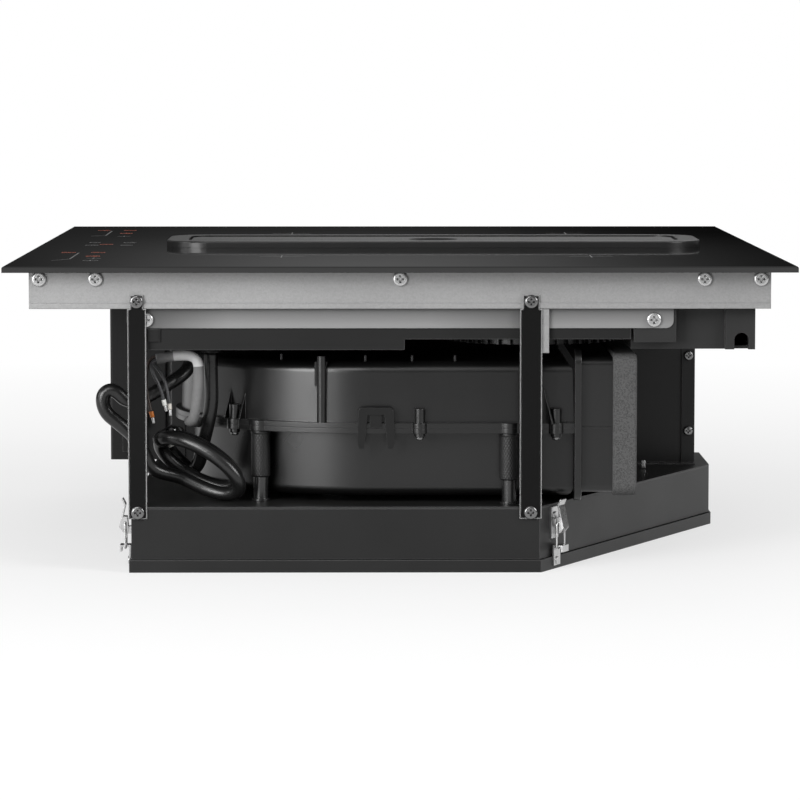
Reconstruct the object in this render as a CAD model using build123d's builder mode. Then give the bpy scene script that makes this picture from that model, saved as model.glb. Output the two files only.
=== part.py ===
"""Downdraft induction cooktop: a glass hob with an extractor hung below it.

X runs from the user's edge (-X) to the back wall (+X), Y across the hob, Z up.
The origin is on the underside of the tray lid, below the centre of the glass.
Depths are measured down from the top of the glass, with down(depth).
"""

import os
from math import atan2, cos, degrees, pi, radians, sin, sqrt, tan

from build123d import *

# ---- driving dimensions, in millimetres ------------------------------------------------
unit_height = 203.0  # top of the glass above the underside of the tray lid
glass_width = 520.0  # along X
glass_depth = 600.0  # along Y
glass_thick = 4.0
glass_bevel = 0.8
sheet = 1.2  # every bent steel sheet
fit_gap = 0.3  # between pieces that seat but don't press
slide_gap = 1.0  # round what lifts out

frame_width = 487.4  # outside of the mounting frame, for a 490 mm cut-out
frame_depth = 568.0
frame_drop = 24.6  # height of the frame's visible face
frame_lip = 14.0  # flange bonded to the glass
hem_height = 3.6
hem_proud = 0.6

strip_width = 360.0
strip_bottom = 41.6
strip_top = 12.0
strip_inset = 3.0  # behind the frame's face
strip_corner = 5.0
strip_screw_x = 167.0
strip_screw_drop = 36.0

screw_head = 9.8
screw_head_high = 2.4
screw_shank = 4.0
frame_screw_x = (-237.0, -200.0, 0.0, 200.0, 237.0)
frame_screw_drop = 8.9
button_head = 7.0
button_shank = 3.0
button_high = 2.0

cover_x = 26.0  # middle of the air opening
ring_width = 386.0
ring_depth = 109.0
ring_high = 4.8
ring_corner = 30.0
mouth_width = 355.0  # clear opening inside the ring
mouth_depth = 78.0
mouth_corner = 15.0
collar_wall = 4.0
collar_drop = 13.0
panel_thick = 3.0
panel_sunk = 1.0  # below the ring's rim
dish_width = 36.5
dish_floor = 26.0
dish_drop = 6.0

shelf_drop = 56.0  # where the filter stands in the plenum
filter_wall = 1.2
mesh_high = 12.0
mesh_lift = 8.0
mesh_columns = 24
mesh_rows = 5

coil_spot_x = (-80.2, 132.2)
coil_spot_y = 172.0
coil_outer = 88.0
coil_inner = 18.0
coil_high = 5.0
mica_thick = 0.6
ferrite_high = 3.0
plate_thick = 1.5
plate_drop = 13.0
plate_inner_y = 46.0
touch_board_x = (-238.0, -190.0)

base_left = -166.0
base_step = 3.0
base_right = 152.0
base_inner_y = 54.0
base_deep = 56.0  # in front of the step
base_shallow = 49.0  # behind it
fan_x = 89.0
fan_y = 200.0
inlet_radius = 58.0
inlet_rib_high = 5.5
inlet_ribs = 44
fan_bore = 46.0
fan_high = 22.0
fan_blades = 7

terminal_box_x = (152.7, 234.5)
terminal_box_y = (-268.0, -195.0)
terminal_drop = 56.2
terminal_step_x = 214.9
terminal_step = 6.0
notch_x = 225.5
notch_width = 9.5
notch_high = 11.0
clip_x = (153.9, 181.8)
clip_drop = (28.6, 51.0)

post_left_x = (-179.1, -166.9)
post_right_x = (78.8, 93.3)
post_top = 19.4
post_bottom = 167.4
post_tongue_inset = 1.8
post_flange = 8.0
post_flange_top = 58.0
post_screw_drop = (23.8, 163.1)

tray_left = -177.5
tray_corner_x = 92.2
tray_right = 227.1
tray_corner_y = -22.0
tray_back = 62.0
tray_top_drop = 159.5
lid_high = 8.6  # seam of the lid above its underside
lid_proud = 1.5
lid_rim = 10.0
gasket_wide = 6.0
gasket_thick = 2.0

plenum_x = (-164.5, 216.6)
plenum_y = (-19.0, 52.0)
plenum_slot_y = (-14.0, 34.0)
plenum_foot = 8.0
plenum_seam = 9.6
plenum_screw_drop = (80.0, 135.0)
control_box_x = (-209.0, -168.0)
control_box_drop = 156.0

blower_top = 65.0
blower_bottom = 155.0
seam_top = 105.2
seam_bottom = 112.0
shell_wall = 2.5
seam_proud = 4.0
lower_inset = 9.0
spiral_x = -20.0
spiral_y = -138.0
spiral_radius = 131.0
spiral_step = (20.0, 16.0)  # how much the radius falls in each quarter turn
outlet_x = 115.5
outlet_y = (-269.0, -46.0)
wheel_x = -30.0
wheel_y = -134.0
wheel_radius = 74.0
wheel_drop = (82.0, 147.0)
wheel_blades = 36
eye_radius = 62.0
motor_radius = 36.0
motor_high = 34.0
shaft_radius = 4.0

duct_drop = (62.0, 152.0)
duct_y = (-268.0, -46.0)
duct_wall = 2.0
duct_end = 157.0
foam_x = 141.0
foam_thick = 2.4
flange_drop = (57.9, 158.3)
flange_y = (-275.0, -39.0)
flange_thick = 4.7

damper_spots = ((-93.0, -246.0), (72.5, -267.0), (-121.0, -57.0), (80.0, -37.5))
damper_radius = 6.6
damper_drop = (112.0, 143.4)
pin_radius = 4.9

cable_radius = 4.6
cable_exit = (-126.0, -246.0)  # holes in the near pan's floor
cable_return = (-140.0, -239.5)
grommet_neck = cable_radius + 1.2
grommet_flange = 1.5
sleeve_radius = 3.4
wire_radius = 1.1

latch_pivot_high = 17.4  # above the lid's seam
latch_pivot_out = 5.0
latch_crank = 5.0
bail_length = 17.0
bail_wire = 0.7
bail_half = 6.2
lever_half = 4.5
cheek = 1.0
latch_from_corner = 22.0

# ---- places worked out from them -------------------------------------------------------


def down(depth):
    """Height of a level that lies this far below the top of the glass."""
    return unit_height - depth


face_x = frame_width / 2
face_y = frame_depth / 2
plate_under = plate_drop + plate_thick
strip_face = face_y - strip_inset
base_outer_y = strip_face - sheet
tray_near = -face_y

os.makedirs("parts", exist_ok=True)


def save(piece, name):
    piece.part.label = name
    export_step(piece.part, f"parts/{name}.step")


def block(x, y, z, mode=Mode.ADD):
    """A plain block between two corners, given as pairs."""
    with Locations(((x[0] + x[1]) / 2, (y[0] + y[1]) / 2, (z[0] + z[1]) / 2)):
        Box(abs(x[1] - x[0]), abs(y[1] - y[0]), abs(z[1] - z[0]), mode=mode)


def pan_screw(head, high, shank, length):
    """A cross-headed screw at the origin: its domed head stands on Z = 0, upwards."""
    with BuildPart() as screw:
        with BuildSketch(Plane.XY):
            Circle(head / 2)
        extrude(amount=high)
        fillet(faces().sort_by(Axis.Z)[-1].edges(), high * 0.6)
        with BuildSketch(Plane.XY):
            Circle(shank / 2)
        extrude(amount=-length)
        with BuildSketch(Plane.XY.offset(high)):
            Rectangle(head * 0.5, head * 0.14)
            Rectangle(head * 0.14, head * 0.5)
        extrude(amount=-high * 0.45, mode=Mode.SUBTRACT)
    return screw.part


def seat_on(spot, outward):
    """The plane of a screw head's seat, facing outwards."""
    return Plane(origin=spot, z_dir=outward)


def drill(seats, radius, depth):
    """A round hole inwards from each seat."""
    with Locations(*seats):
        Cylinder(radius, 2 * depth, mode=Mode.SUBTRACT)


near_out = (0, -1, 0)
rail_seats = {
    side: [seat_on((x, side * face_y, down(frame_screw_drop)), (0, side, 0)) for x in frame_screw_x]
    for side in (-1, 1)
}
strip_seats = [
    seat_on((x, side * strip_face, down(strip_screw_drop)), (0, side, 0))
    for side in (-1, 1)
    for x in (-strip_screw_x, strip_screw_x)
]
post_mid_x = [sum(x) / 2 for x in (post_left_x, post_right_x)]
post_top_seats = [seat_on((x, -face_y - sheet, down(post_screw_drop[0])), near_out) for x in post_mid_x]
post_foot_seats = [seat_on((x, -face_y - sheet, down(post_screw_drop[1])), near_out) for x in post_mid_x]
plenum_seats = [
    seat_on((x, plenum_y[0] - sheet, down(drop)), near_out)
    for x in (plenum_x[0] + plenum_seam / 2, plenum_x[1] - plenum_seam / 2)
    for drop in plenum_screw_drop
]
screw_hole = screw_shank / 2 + 0.1


# ---- glass, cover ring, cover panel and grease filter ----------------------------------

with BuildPart() as glass_top:
    with BuildSketch(Plane.XY.offset(down(glass_thick))):
        Rectangle(glass_width, glass_depth)
        with Locations((cover_x, 0)):
            RectangleRounded(
                mouth_width + 2 * (collar_wall + slide_gap),
                mouth_depth + 2 * (collar_wall + slide_gap),
                mouth_corner + collar_wall + slide_gap,
                mode=Mode.SUBTRACT,
            )
    extrude(amount=glass_thick)
    outline = faces().sort_by(Axis.Z)[-1].outer_wire()
    chamfer(outline.edges(), glass_bevel)
save(glass_top, "glass_top")

with BuildPart() as cover_ring:
    with BuildSketch(Plane.XY.offset(unit_height)):
        with Locations((cover_x, 0)):
            RectangleRounded(ring_width, ring_depth, ring_corner)
    extrude(amount=ring_high)
    fillet(faces().sort_by(Axis.Z)[-1].edges(), 1.2)
    with BuildSketch(Plane.XY.offset(down(collar_drop))):
        with Locations((cover_x, 0)):
            RectangleRounded(
                mouth_width + 2 * collar_wall,
                mouth_depth + 2 * collar_wall,
                mouth_corner + collar_wall,
            )
    extrude(amount=collar_drop)
    with BuildSketch(Plane.XY.offset(down(collar_drop))):
        with Locations((cover_x, 0)):
            RectangleRounded(mouth_width, mouth_depth, mouth_corner)
    extrude(amount=collar_drop + ring_high, mode=Mode.SUBTRACT)
save(cover_ring, "cover_ring")

panel_top = unit_height + ring_high - panel_sunk
panel_under = panel_top - panel_thick
with BuildPart() as cover_panel:
    with BuildSketch(Plane.XY.offset(panel_under)):
        with Locations((cover_x, 0)):
            RectangleRounded(
                mouth_width - 2 * slide_gap, mouth_depth - 2 * slide_gap, mouth_corner - slide_gap
            )
    extrude(amount=panel_thick)
    chamfer(faces().sort_by(Axis.Z)[-1].edges(), 0.6)
    dish_wall = 1.6
    with BuildSketch(Plane.XY.offset(panel_top)) as dish_mouth:
        with Locations((cover_x, 0)):
            Circle(dish_width / 2 + dish_wall)
    with BuildSketch(Plane.XY.offset(panel_top - dish_drop - dish_wall)) as dish_foot:
        with Locations((cover_x, 0)):
            Circle(dish_floor / 2 + dish_wall)
    loft(sections=[dish_mouth.sketch, dish_foot.sketch])
    with BuildSketch(Plane.XY.offset(panel_top)) as dish_open:
        with Locations((cover_x, 0)):
            Circle(dish_width / 2)
    with BuildSketch(Plane.XY.offset(panel_top - dish_drop)) as dish_base:
        with Locations((cover_x, 0)):
            Circle(dish_floor / 2)
    loft(sections=[dish_open.sketch, dish_base.sketch], mode=Mode.SUBTRACT)
save(cover_panel, "cover_panel")

filter_width = mouth_width - 4 * slide_gap
filter_depth = mouth_depth - 4 * slide_gap
filter_corner = mouth_corner - 2 * slide_gap
filter_foot = down(shelf_drop) + fit_gap
filter_rim = panel_under - filter_foot
with BuildPart() as filter_frame:
    with BuildSketch(Plane.XY.offset(filter_foot)):
        with Locations((cover_x, 0)):
            RectangleRounded(filter_width, filter_depth, filter_corner)
            RectangleRounded(
                filter_width - 2 * filter_wall,
                filter_depth - 2 * filter_wall,
                filter_corner - filter_wall,
                mode=Mode.SUBTRACT,
            )
    extrude(amount=filter_rim)
    with BuildSketch(Plane.XY.offset(filter_foot)):
        with Locations((cover_x, 0)):
            RectangleRounded(filter_width, filter_depth, filter_corner)
            Rectangle(filter_width - 16, filter_depth - 16, mode=Mode.SUBTRACT)
    extrude(amount=filter_wall)
    handle_z = filter_foot + mesh_lift + mesh_high + 6
    for side in (-1, 1):
        ridge = cover_x + side * filter_width * 0.3
        ridge_y = filter_depth / 2 - 1
        block((ridge - 5, ridge + 5), (-ridge_y, ridge_y), (handle_z, handle_z + 1.6))
save(filter_frame, "filter_frame")

with BuildPart() as filter_mesh:
    mesh_width = filter_width - 2 * (filter_wall + fit_gap)
    mesh_depth = filter_depth - 2 * (filter_wall + fit_gap)
    with BuildSketch(Plane.XY.offset(filter_foot + filter_wall)):
        with Locations((cover_x, 0)):
            RectangleRounded(mesh_width, mesh_depth, filter_corner - filter_wall - fit_gap)
        with Locations((cover_x, 0)):
            with GridLocations(
                (mesh_width - 12) / mesh_columns, (mesh_depth - 8) / mesh_rows, mesh_columns, mesh_rows
            ):
                Rectangle(
                    (mesh_width - 12) / mesh_columns - 2.4,
                    (mesh_depth - 8) / mesh_rows - 2.4,
                    mode=Mode.SUBTRACT,
                )
    extrude(amount=mesh_high)
save(filter_mesh, "filter_mesh")

# ---- mounting frame --------------------------------------------------------------------


def frame_rail(side):
    """One long rail: an upright face with a lip bonded to the glass and a hem below."""
    with BuildPart() as rail:
        outer = side * face_y
        inner = outer - side * sheet
        block((-face_x, face_x), (outer, inner), (down(glass_thick + frame_drop), down(glass_thick)))
        block(
            (-face_x, face_x),
            (outer, outer - side * frame_lip),
            (down(glass_thick + sheet), down(glass_thick)),
        )
        hem_low = down(glass_thick + frame_drop)
        hem_x = face_x - sheet
        block((-hem_x, hem_x), (inner, inner - side * hem_proud), (hem_low, hem_low + hem_height))
        drill(rail_seats[side], screw_hole, 2 * sheet)
        if side < 0:
            drill(post_top_seats, screw_hole, 3 * sheet)
    return rail


def frame_end(side):
    """One short rail, between the two long ones."""
    with BuildPart() as rail:
        outer = side * face_x
        inner = outer - side * sheet
        reach = face_y - sheet
        low = down(glass_thick + frame_drop)
        block((outer, inner), (-reach, reach), (low, down(glass_thick)))
        # the lip is notched at its ends, where it meets the rails' lips
        lip_reach = face_y - frame_lip
        lip_foot = down(glass_thick + sheet)
        block((inner, outer - side * frame_lip), (-lip_reach, lip_reach), (lip_foot, down(glass_thick)))
        for end in (-1, 1):
            corner = (end * lip_reach, end * reach)
            block((outer, inner), corner, (lip_foot, down(glass_thick)), mode=Mode.SUBTRACT)
    return rail


save(frame_rail(-1), "frame_near")
save(frame_rail(1), "frame_far")
save(frame_end(-1), "frame_front")
save(frame_end(1), "frame_rear")

rail_screw = pan_screw(screw_head, screw_head_high, screw_shank, 7)
strip_screw = pan_screw(screw_head, screw_head_high, screw_shank, sheet)
with BuildPart() as frame_screws:
    with Locations(*rail_seats[-1], *rail_seats[1]):
        add(rail_screw)
    with Locations(*strip_seats):
        add(strip_screw)
save(frame_screws, "frame_screws")

with BuildPart() as side_strips:
    strip_head = down(glass_thick + frame_drop - hem_height)
    strip_foot = down(strip_bottom)
    for side in (-1, 1):
        upright = Plane(origin=(0, side * strip_face, 0), x_dir=(1, 0, 0), z_dir=near_out)
        with BuildSketch(upright) as outline:
            with Locations((0, (strip_head + strip_foot) / 2)):
                Rectangle(strip_width, strip_head - strip_foot)
            fillet(outline.vertices().group_by(Axis.Y)[0], strip_corner)
            with Locations([(x, down(strip_screw_drop)) for x in (-strip_screw_x, strip_screw_x)]):
                Circle(screw_shank / 2 + 0.1, mode=Mode.SUBTRACT)
        extrude(amount=side * sheet)
save(side_strips, "side_strips")

# ---- coils and electronics -------------------------------------------------------------

coil_spots = [(x, side * coil_spot_y) for side in (-1, 1) for x in coil_spot_x]

with BuildPart() as mica_discs:
    with BuildSketch(Plane.XY.offset(down(glass_thick + mica_thick))):
        with Locations(*coil_spots):
            Circle(coil_outer + 2)
            Circle(coil_inner - 4, mode=Mode.SUBTRACT)
    extrude(amount=mica_thick)
save(mica_discs, "mica_discs")

coil_top = down(glass_thick + mica_thick)
with BuildPart() as coil_windings:
    with BuildSketch(Plane.XY.offset(coil_top - coil_high)):
        with Locations(*coil_spots):
            Circle(coil_outer)
            Circle(coil_inner, mode=Mode.SUBTRACT)
    extrude(amount=coil_high)
    with BuildSketch(Plane.XY.offset(coil_top)):
        with Locations(*coil_spots):
            for turn in range(1, 5):
                groove = coil_inner + (coil_outer - coil_inner) * turn / 5
                Circle(groove + 0.8)
                Circle(groove - 0.8, mode=Mode.SUBTRACT)
    extrude(amount=-1.2, mode=Mode.SUBTRACT)
save(coil_windings, "coil_windings")

ferrite_top = coil_top - coil_high
ferrite_low = down(plate_drop)
with BuildPart() as ferrite_bars:
    for x, y in coil_spots:
        with BuildSketch(Plane.XY.offset(ferrite_low)):
            with Locations((x, y)):
                with PolarLocations((coil_outer + coil_inner) / 2, 8):
                    Rectangle(coil_outer - coil_inner - 6, 9)
        extrude(amount=ferrite_top - ferrite_low)
save(ferrite_bars, "ferrite_bars")

with BuildPart() as coil_plates:
    plate_reach = face_y - sheet - hem_proud - fit_gap
    plate_half = face_x - sheet - fit_gap
    for side in (-1, 1):
        block(
            (-plate_half, plate_half),
            (side * plate_reach, side * plate_inner_y),
            (down(plate_under), down(plate_drop)),
        )
        block(
            (touch_board_x[1] + fit_gap, face_x - frame_lip - fit_gap),
            (side * plate_inner_y, side * (plate_inner_y + sheet)),
            (down(plate_under), down(glass_thick)),
        )
save(coil_plates, "coil_plates")


def electronics_base(side):
    """An open-topped sheet pan below the coils, shallower behind its step."""
    near_y = side * base_outer_y
    mid_y = side * base_inner_y
    wall = side * sheet
    top = down(plate_under)
    with BuildPart() as pan:
        block((base_left, base_step), (near_y, mid_y), (down(base_deep), top))
        block((base_step, base_right), (near_y, mid_y), (down(base_shallow), top))
        block(
            (base_left + sheet, base_step - sheet),
            (near_y - wall, mid_y + wall),
            (down(base_deep) + sheet, top),
            mode=Mode.SUBTRACT,
        )
        block(
            (base_step - 2 * sheet, base_right - sheet),
            (near_y - wall, mid_y + wall),
            (down(base_shallow) + sheet, top),
            mode=Mode.SUBTRACT,
        )
        with Locations((fan_x, side * fan_y, down(base_shallow))):
            Cylinder(inlet_radius - 6, 6 * sheet, mode=Mode.SUBTRACT)
        if side < 0:
            with Locations((cable_exit[0], cable_exit[1], down(base_deep))):
                Cylinder(grommet_neck, 6 * sheet, mode=Mode.SUBTRACT)
            with Locations((cable_return[0], cable_return[1], down(base_deep))):
                Cylinder(grommet_neck, 6 * sheet, mode=Mode.SUBTRACT)
    return pan


save(electronics_base(-1), "base_near")
save(electronics_base(1), "base_far")

board_z = down(base_shallow) + 8
board_right = fan_x - inlet_radius - 2
with BuildPart() as power_boards:
    for side in (-1, 1):
        y = (side * (base_outer_y - 8), side * (base_inner_y + 6))
        block((base_left + 6, board_right), y, (board_z, board_z + 1.6))
        corners = GridLocations(board_right - base_left - 20, base_outer_y - base_inner_y - 30, 2, 2)
        for corner in corners.locations:
            post = corner.position + Vector((base_left + 6 + board_right) / 2, (y[0] + y[1]) / 2, 0)
            foot = down(base_deep) + sheet if post.X < base_step else down(base_shallow) + sheet
            block((post.X - 3, post.X + 3), (post.Y - 3, post.Y + 3), (foot, board_z))
        can_spots = [(base_left + 40, y[0] - side * inset, board_z + 8) for inset in (40, 75)]
        with Locations(*can_spots):
            Cylinder(12, 16)
        with Locations((base_left + 40, y[1] + side * 40, board_z + 8)):
            Box(34, 30, 16)
save(power_boards, "power_boards")

with BuildPart() as heatsinks:
    sink_z = board_z + 1.6
    for side in (-1, 1):
        block((-60, board_right - 6), (side * (fan_y - 40), side * (fan_y + 40)), (sink_z, sink_z + 3))
        with Locations(((board_right - 66) / 2, side * fan_y, sink_z + 10)):
            with GridLocations(0, 10, 1, 9):
                Box(board_right + 54, 1.6, 16)
save(heatsinks, "heatsinks")

inlet_top = down(base_shallow)
inlet_low = inlet_top - inlet_rib_high
with BuildPart() as inlet_grilles:
    for side in (-1, 1):
        with BuildSketch(Plane.XY.offset(inlet_low)):
            with Locations((fan_x, side * fan_y)):
                Circle(inlet_radius - 4)
                Circle(inlet_radius - 7, mode=Mode.SUBTRACT)
                with PolarLocations((inlet_radius + fan_bore) / 2 - 3, inlet_ribs):
                    Rectangle(inlet_radius - fan_bore + 6, 1.8)
        extrude(amount=inlet_rib_high)
        with BuildSketch(Plane.XY.offset(inlet_low)):
            with Locations((fan_x, side * fan_y)):
                Circle(22)
                Rectangle(2 * fan_bore, 5)
                Rectangle(5, 2 * fan_bore)
        extrude(amount=2)
save(inlet_grilles, "inlet_grilles")

fan_low = inlet_top + sheet + fit_gap
with BuildPart() as fan_housings:
    for side in (-1, 1):
        with BuildSketch(Plane.XY.offset(fan_low)):
            with Locations((fan_x, side * fan_y)):
                RectangleRounded(2 * inlet_radius, 2 * inlet_radius, 10)
                Circle(fan_bore + 1.5, mode=Mode.SUBTRACT)
        extrude(amount=fan_high)
        with BuildSketch(Plane.XY.offset(fan_low + fan_high - 3)):
            with Locations((fan_x, side * fan_y)):
                Circle(17)
                Rectangle(2 * fan_bore + 4, 4)
        extrude(amount=3)
save(fan_housings, "fan_housings")


def fan_rotor(side):
    """Axial rotor that hangs from the housing's bridge: a hub cup with twisted blades."""
    low = fan_low + 1.5
    hub_high = fan_high - 3 - 1.5 - fit_gap  # up to the housing's bridge
    blade_high = hub_high - 1.2
    with BuildPart() as rotor:
        with Locations((fan_x, side * fan_y, low + hub_high / 2)):
            Cylinder(16, hub_high)
        with BuildSketch(Plane.XY.offset(low + 1)):
            with Locations((fan_x, side * fan_y)):
                with PolarLocations(28.5, fan_blades):
                    Rectangle(30, 11)
        extrude(amount=blade_high - 2, taper=8)
    return rotor


save(fan_rotor(-1), "fan_rotor_near")
save(fan_rotor(1), "fan_rotor_far")

with BuildPart() as touch_board:
    block(touch_board_x, (-120, 120), (down(10.6), down(9.0)))
    with Locations(*[(-214, y, down(6.8)) for y in (-100, -60, -20, 20, 60, 100)]):
        Cylinder(6, 4.4)
    with Locations(*[(-214, y, down((10.6 + plate_drop) / 2)) for y in (-110, 110)]):
        Cylinder(3, plate_drop - 10.6)
save(touch_board, "touch_board")

terminal_low = down(terminal_drop)
terminal_top = down(plate_under)
with BuildPart() as terminal_box:
    block(terminal_box_x, terminal_box_y, (terminal_low, terminal_top))
    block(
        (terminal_step_x, terminal_box_x[1]),
        (terminal_box_y[0], terminal_box_y[0] - terminal_step),
        (terminal_low, terminal_top),
    )
    inner_x = (terminal_box_x[0] + 2, terminal_box_x[1] - 2)
    inner_y = (terminal_box_y[0] + 2, terminal_box_y[1] - 2)
    block(inner_x, inner_y, (terminal_low - 1, terminal_top - 2), mode=Mode.SUBTRACT)
    arch = Plane(origin=(notch_x, terminal_box_y[0] - terminal_step, 0), x_dir=(1, 0, 0), z_dir=(0, -1, 0))
    with BuildSketch(arch):
        with Locations((0, terminal_low + (notch_high - notch_width / 2) / 2)):
            Rectangle(notch_width, notch_high - notch_width / 2)
        with Locations((0, terminal_low + notch_high - notch_width / 2)):
            Circle(notch_width / 2)
    extrude(amount=-(terminal_step + 3), mode=Mode.SUBTRACT)
save(terminal_box, "terminal_box")

with BuildPart() as terminal_cover:
    cover_x_range = (terminal_box_x[0] + 2 + fit_gap, terminal_box_x[1] - 2 - fit_gap)
    cover_y_range = (terminal_box_y[0] + 2 + fit_gap, terminal_box_y[1] - 2 - fit_gap)
    block(cover_x_range, cover_y_range, (terminal_low, terminal_low + 2))
    cover_mid_y = (cover_y_range[0] + cover_y_range[1]) / 2
    with Locations(*[(x, cover_mid_y, terminal_low + 10) for x in (170, 184, 198, 212)]):
        Box(11, 18, 16)
save(terminal_cover, "terminal_cover")

with BuildPart() as corner_clips:
    for side in (-1, 1):
        y = (side * base_outer_y, side * (-terminal_box_y[0] + fit_gap))
        block(clip_x, y, (down(clip_drop[1]), down(plate_under)))
        block(
            (clip_x[0] + 3, clip_x[1] - 3),
            (y[0] - side * 2.5, y[1]),
            (down(clip_drop[1] - 4), down(plate_under + 4)),
            mode=Mode.SUBTRACT,
        )
save(corner_clips, "corner_clips")

# ---- plenum and control box ------------------------------------------------------------

collar_x = (cover_x - filter_width / 2 - 2 - sheet, cover_x + filter_width / 2 + 2 + sheet)
collar_y = filter_depth / 2 + 1 + sheet
collar_top = down(plate_under) - fit_gap
shelf_top = down(shelf_drop)
tray_roof = down(tray_top_drop)
with BuildPart() as air_plenum:
    block(collar_x, (-collar_y, collar_y), (shelf_top - sheet, collar_top))
    inside_x = (collar_x[0] + sheet, collar_x[1] - sheet)
    block(inside_x, (sheet - collar_y, collar_y - sheet), (shelf_top, collar_top), mode=Mode.SUBTRACT)
    for side in (-1, 1):
        block(collar_x, (side * collar_y, side * (base_inner_y - 1)), (collar_top - sheet, collar_top))
    block(plenum_x, plenum_y, (tray_roof, shelf_top))
    block(plenum_x, (-collar_y, plenum_y[1]), (shelf_top - sheet, shelf_top))
    block(
        (plenum_x[0] + sheet, plenum_x[1] - sheet),
        (plenum_y[0] + sheet, plenum_y[1] - sheet),
        (tray_roof, shelf_top - sheet),
        mode=Mode.SUBTRACT,
    )
    slot_x = (inside_x[0] + 6, inside_x[1] - 6)
    block(slot_x, plenum_slot_y, (shelf_top - 2 * sheet, shelf_top + sheet), mode=Mode.SUBTRACT)
    for side, edge in ((-1, plenum_y[0]), (1, plenum_y[1])):
        block(plenum_x, (edge, edge + side * plenum_foot), (tray_roof, tray_roof + sheet))
    seam_y = (plenum_y[0], plenum_y[0] - sheet)
    for seam in ((plenum_x[0], plenum_x[0] + plenum_seam), (plenum_x[1] - plenum_seam, plenum_x[1])):
        block(seam, seam_y, (tray_roof + sheet, shelf_top - sheet))
    drill(plenum_seats, button_shank / 2 + 0.1, 3 * sheet)
save(air_plenum, "air_plenum")

with BuildPart() as control_box:
    box_top = down(plate_under) - fit_gap
    block(control_box_x, plenum_y, (down(control_box_drop), box_top))
    fillet(edges().filter_by(Axis.Z), 1.5)
    block((control_box_x[0] - 5, control_box_x[0]), (-8, 8), (down(120), down(104)))
    block((-200, -184), (plenum_y[0] - 5, plenum_y[0]), (down(150), down(136)))
    block((control_box_x[0] - 3, control_box_x[0] - 6), (-6, 6), (down(118), down(106)), mode=Mode.SUBTRACT)
save(control_box, "control_box")

# ---- tray, lid and gasket --------------------------------------------------------------


tray_corners = [
    (tray_left, tray_near),
    (tray_corner_x, tray_near),
    (tray_right, tray_corner_y),
    (tray_right, tray_back),
    (tray_left, tray_back),
]


def tray_outline(grow):
    """The tray's five-sided outline as a face, grown outwards by an amount."""
    with BuildSketch() as outline:
        with BuildLine():
            Polyline(*tray_corners, close=True)
        make_face()
        if grow:
            offset(amount=grow, kind=Kind.INTERSECTION)
    return outline.sketch


def tray_ring(low, high, outside, inside, mode=Mode.ADD):
    """A band that follows the tray's outline between two offsets."""
    band = tray_outline(outside) - tray_outline(inside)
    add(extrude(Plane.XY.offset(low) * band, amount=high - low, mode=Mode.PRIVATE), mode=mode)


seam_z = lid_high
with BuildPart() as tray_top:
    add(extrude(Plane.XY.offset(tray_roof - sheet) * tray_outline(0), amount=sheet, mode=Mode.PRIVATE))
    with Locations((wheel_x, wheel_y, tray_roof - sheet / 2)):
        Cylinder(eye_radius + 1.5, 3 * sheet, mode=Mode.SUBTRACT)
    block(
        (plenum_x[0] + 8, plenum_x[1] - 8),
        (plenum_y[0] + 6, plenum_y[1] - 6),
        (tray_roof - 2 * sheet, tray_roof + sheet),
        mode=Mode.SUBTRACT,
    )
save(tray_top, "tray_top")

with BuildPart() as tray_body:
    tray_ring(seam_z, tray_roof - sheet, 0, -sheet)
    tray_ring(seam_z, seam_z + sheet, -sheet, -lid_rim)
    drill(post_foot_seats, screw_hole, 3 * sheet)
save(tray_body, "tray_body")

gasket_top = seam_z
gasket_low = seam_z - gasket_thick
with BuildPart() as lid_gasket:
    tray_ring(gasket_low, gasket_top, -sheet, -sheet - gasket_wide)
save(lid_gasket, "lid_gasket")

with BuildPart() as tray_lid:
    add(extrude(tray_outline(lid_proud), amount=seam_z - fit_gap, mode=Mode.PRIVATE))
    hollow = extrude(
        Plane.XY.offset(sheet) * tray_outline(lid_proud - sheet), amount=seam_z, mode=Mode.PRIVATE
    )
    add(hollow, mode=Mode.SUBTRACT)
    tray_ring(gasket_low - sheet, gasket_low, lid_proud - sheet / 2, -lid_rim)
save(tray_lid, "tray_lid")

# ---- blower ----------------------------------------------------------------------------


def volute_outline(grow):
    """Three quarter turns of falling radius round the wheel, joined to the square outlet.

    From the near wall the spiral goes round by the left and the far side to the tongue.
    """
    near_r = spiral_radius + grow
    far_r = near_r - spiral_step[0]
    tongue_r = far_r - spiral_step[1]
    far_cx = spiral_x - spiral_step[0]
    tongue_cy = spiral_y + spiral_step[1]
    near = (spiral_x, spiral_y - near_r)
    left = (spiral_x - near_r, spiral_y)
    far = (far_cx, spiral_y + far_r)
    tongue = (far_cx + tongue_r, tongue_cy)
    with BuildSketch() as outline:
        with BuildLine():
            CenterArc((spiral_x, spiral_y), near_r, 180, 90)
            CenterArc((far_cx, spiral_y), far_r, 90, 90)
            CenterArc((far_cx, tongue_cy), tongue_r, 0, 90)
            Polyline(tongue, (tongue[0], near[1]), near)
        make_face()
        low_y = outlet_y[0] - grow
        high_y = outlet_y[1] + grow
        with Locations(((spiral_x + outlet_x) / 2, (low_y + high_y) / 2)):
            Rectangle(outlet_x - spiral_x, high_y - low_y)
    return outline.sketch


def lift(face, z):
    """The face, carried up to a level."""
    return Plane.XY.offset(z) * face


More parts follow.
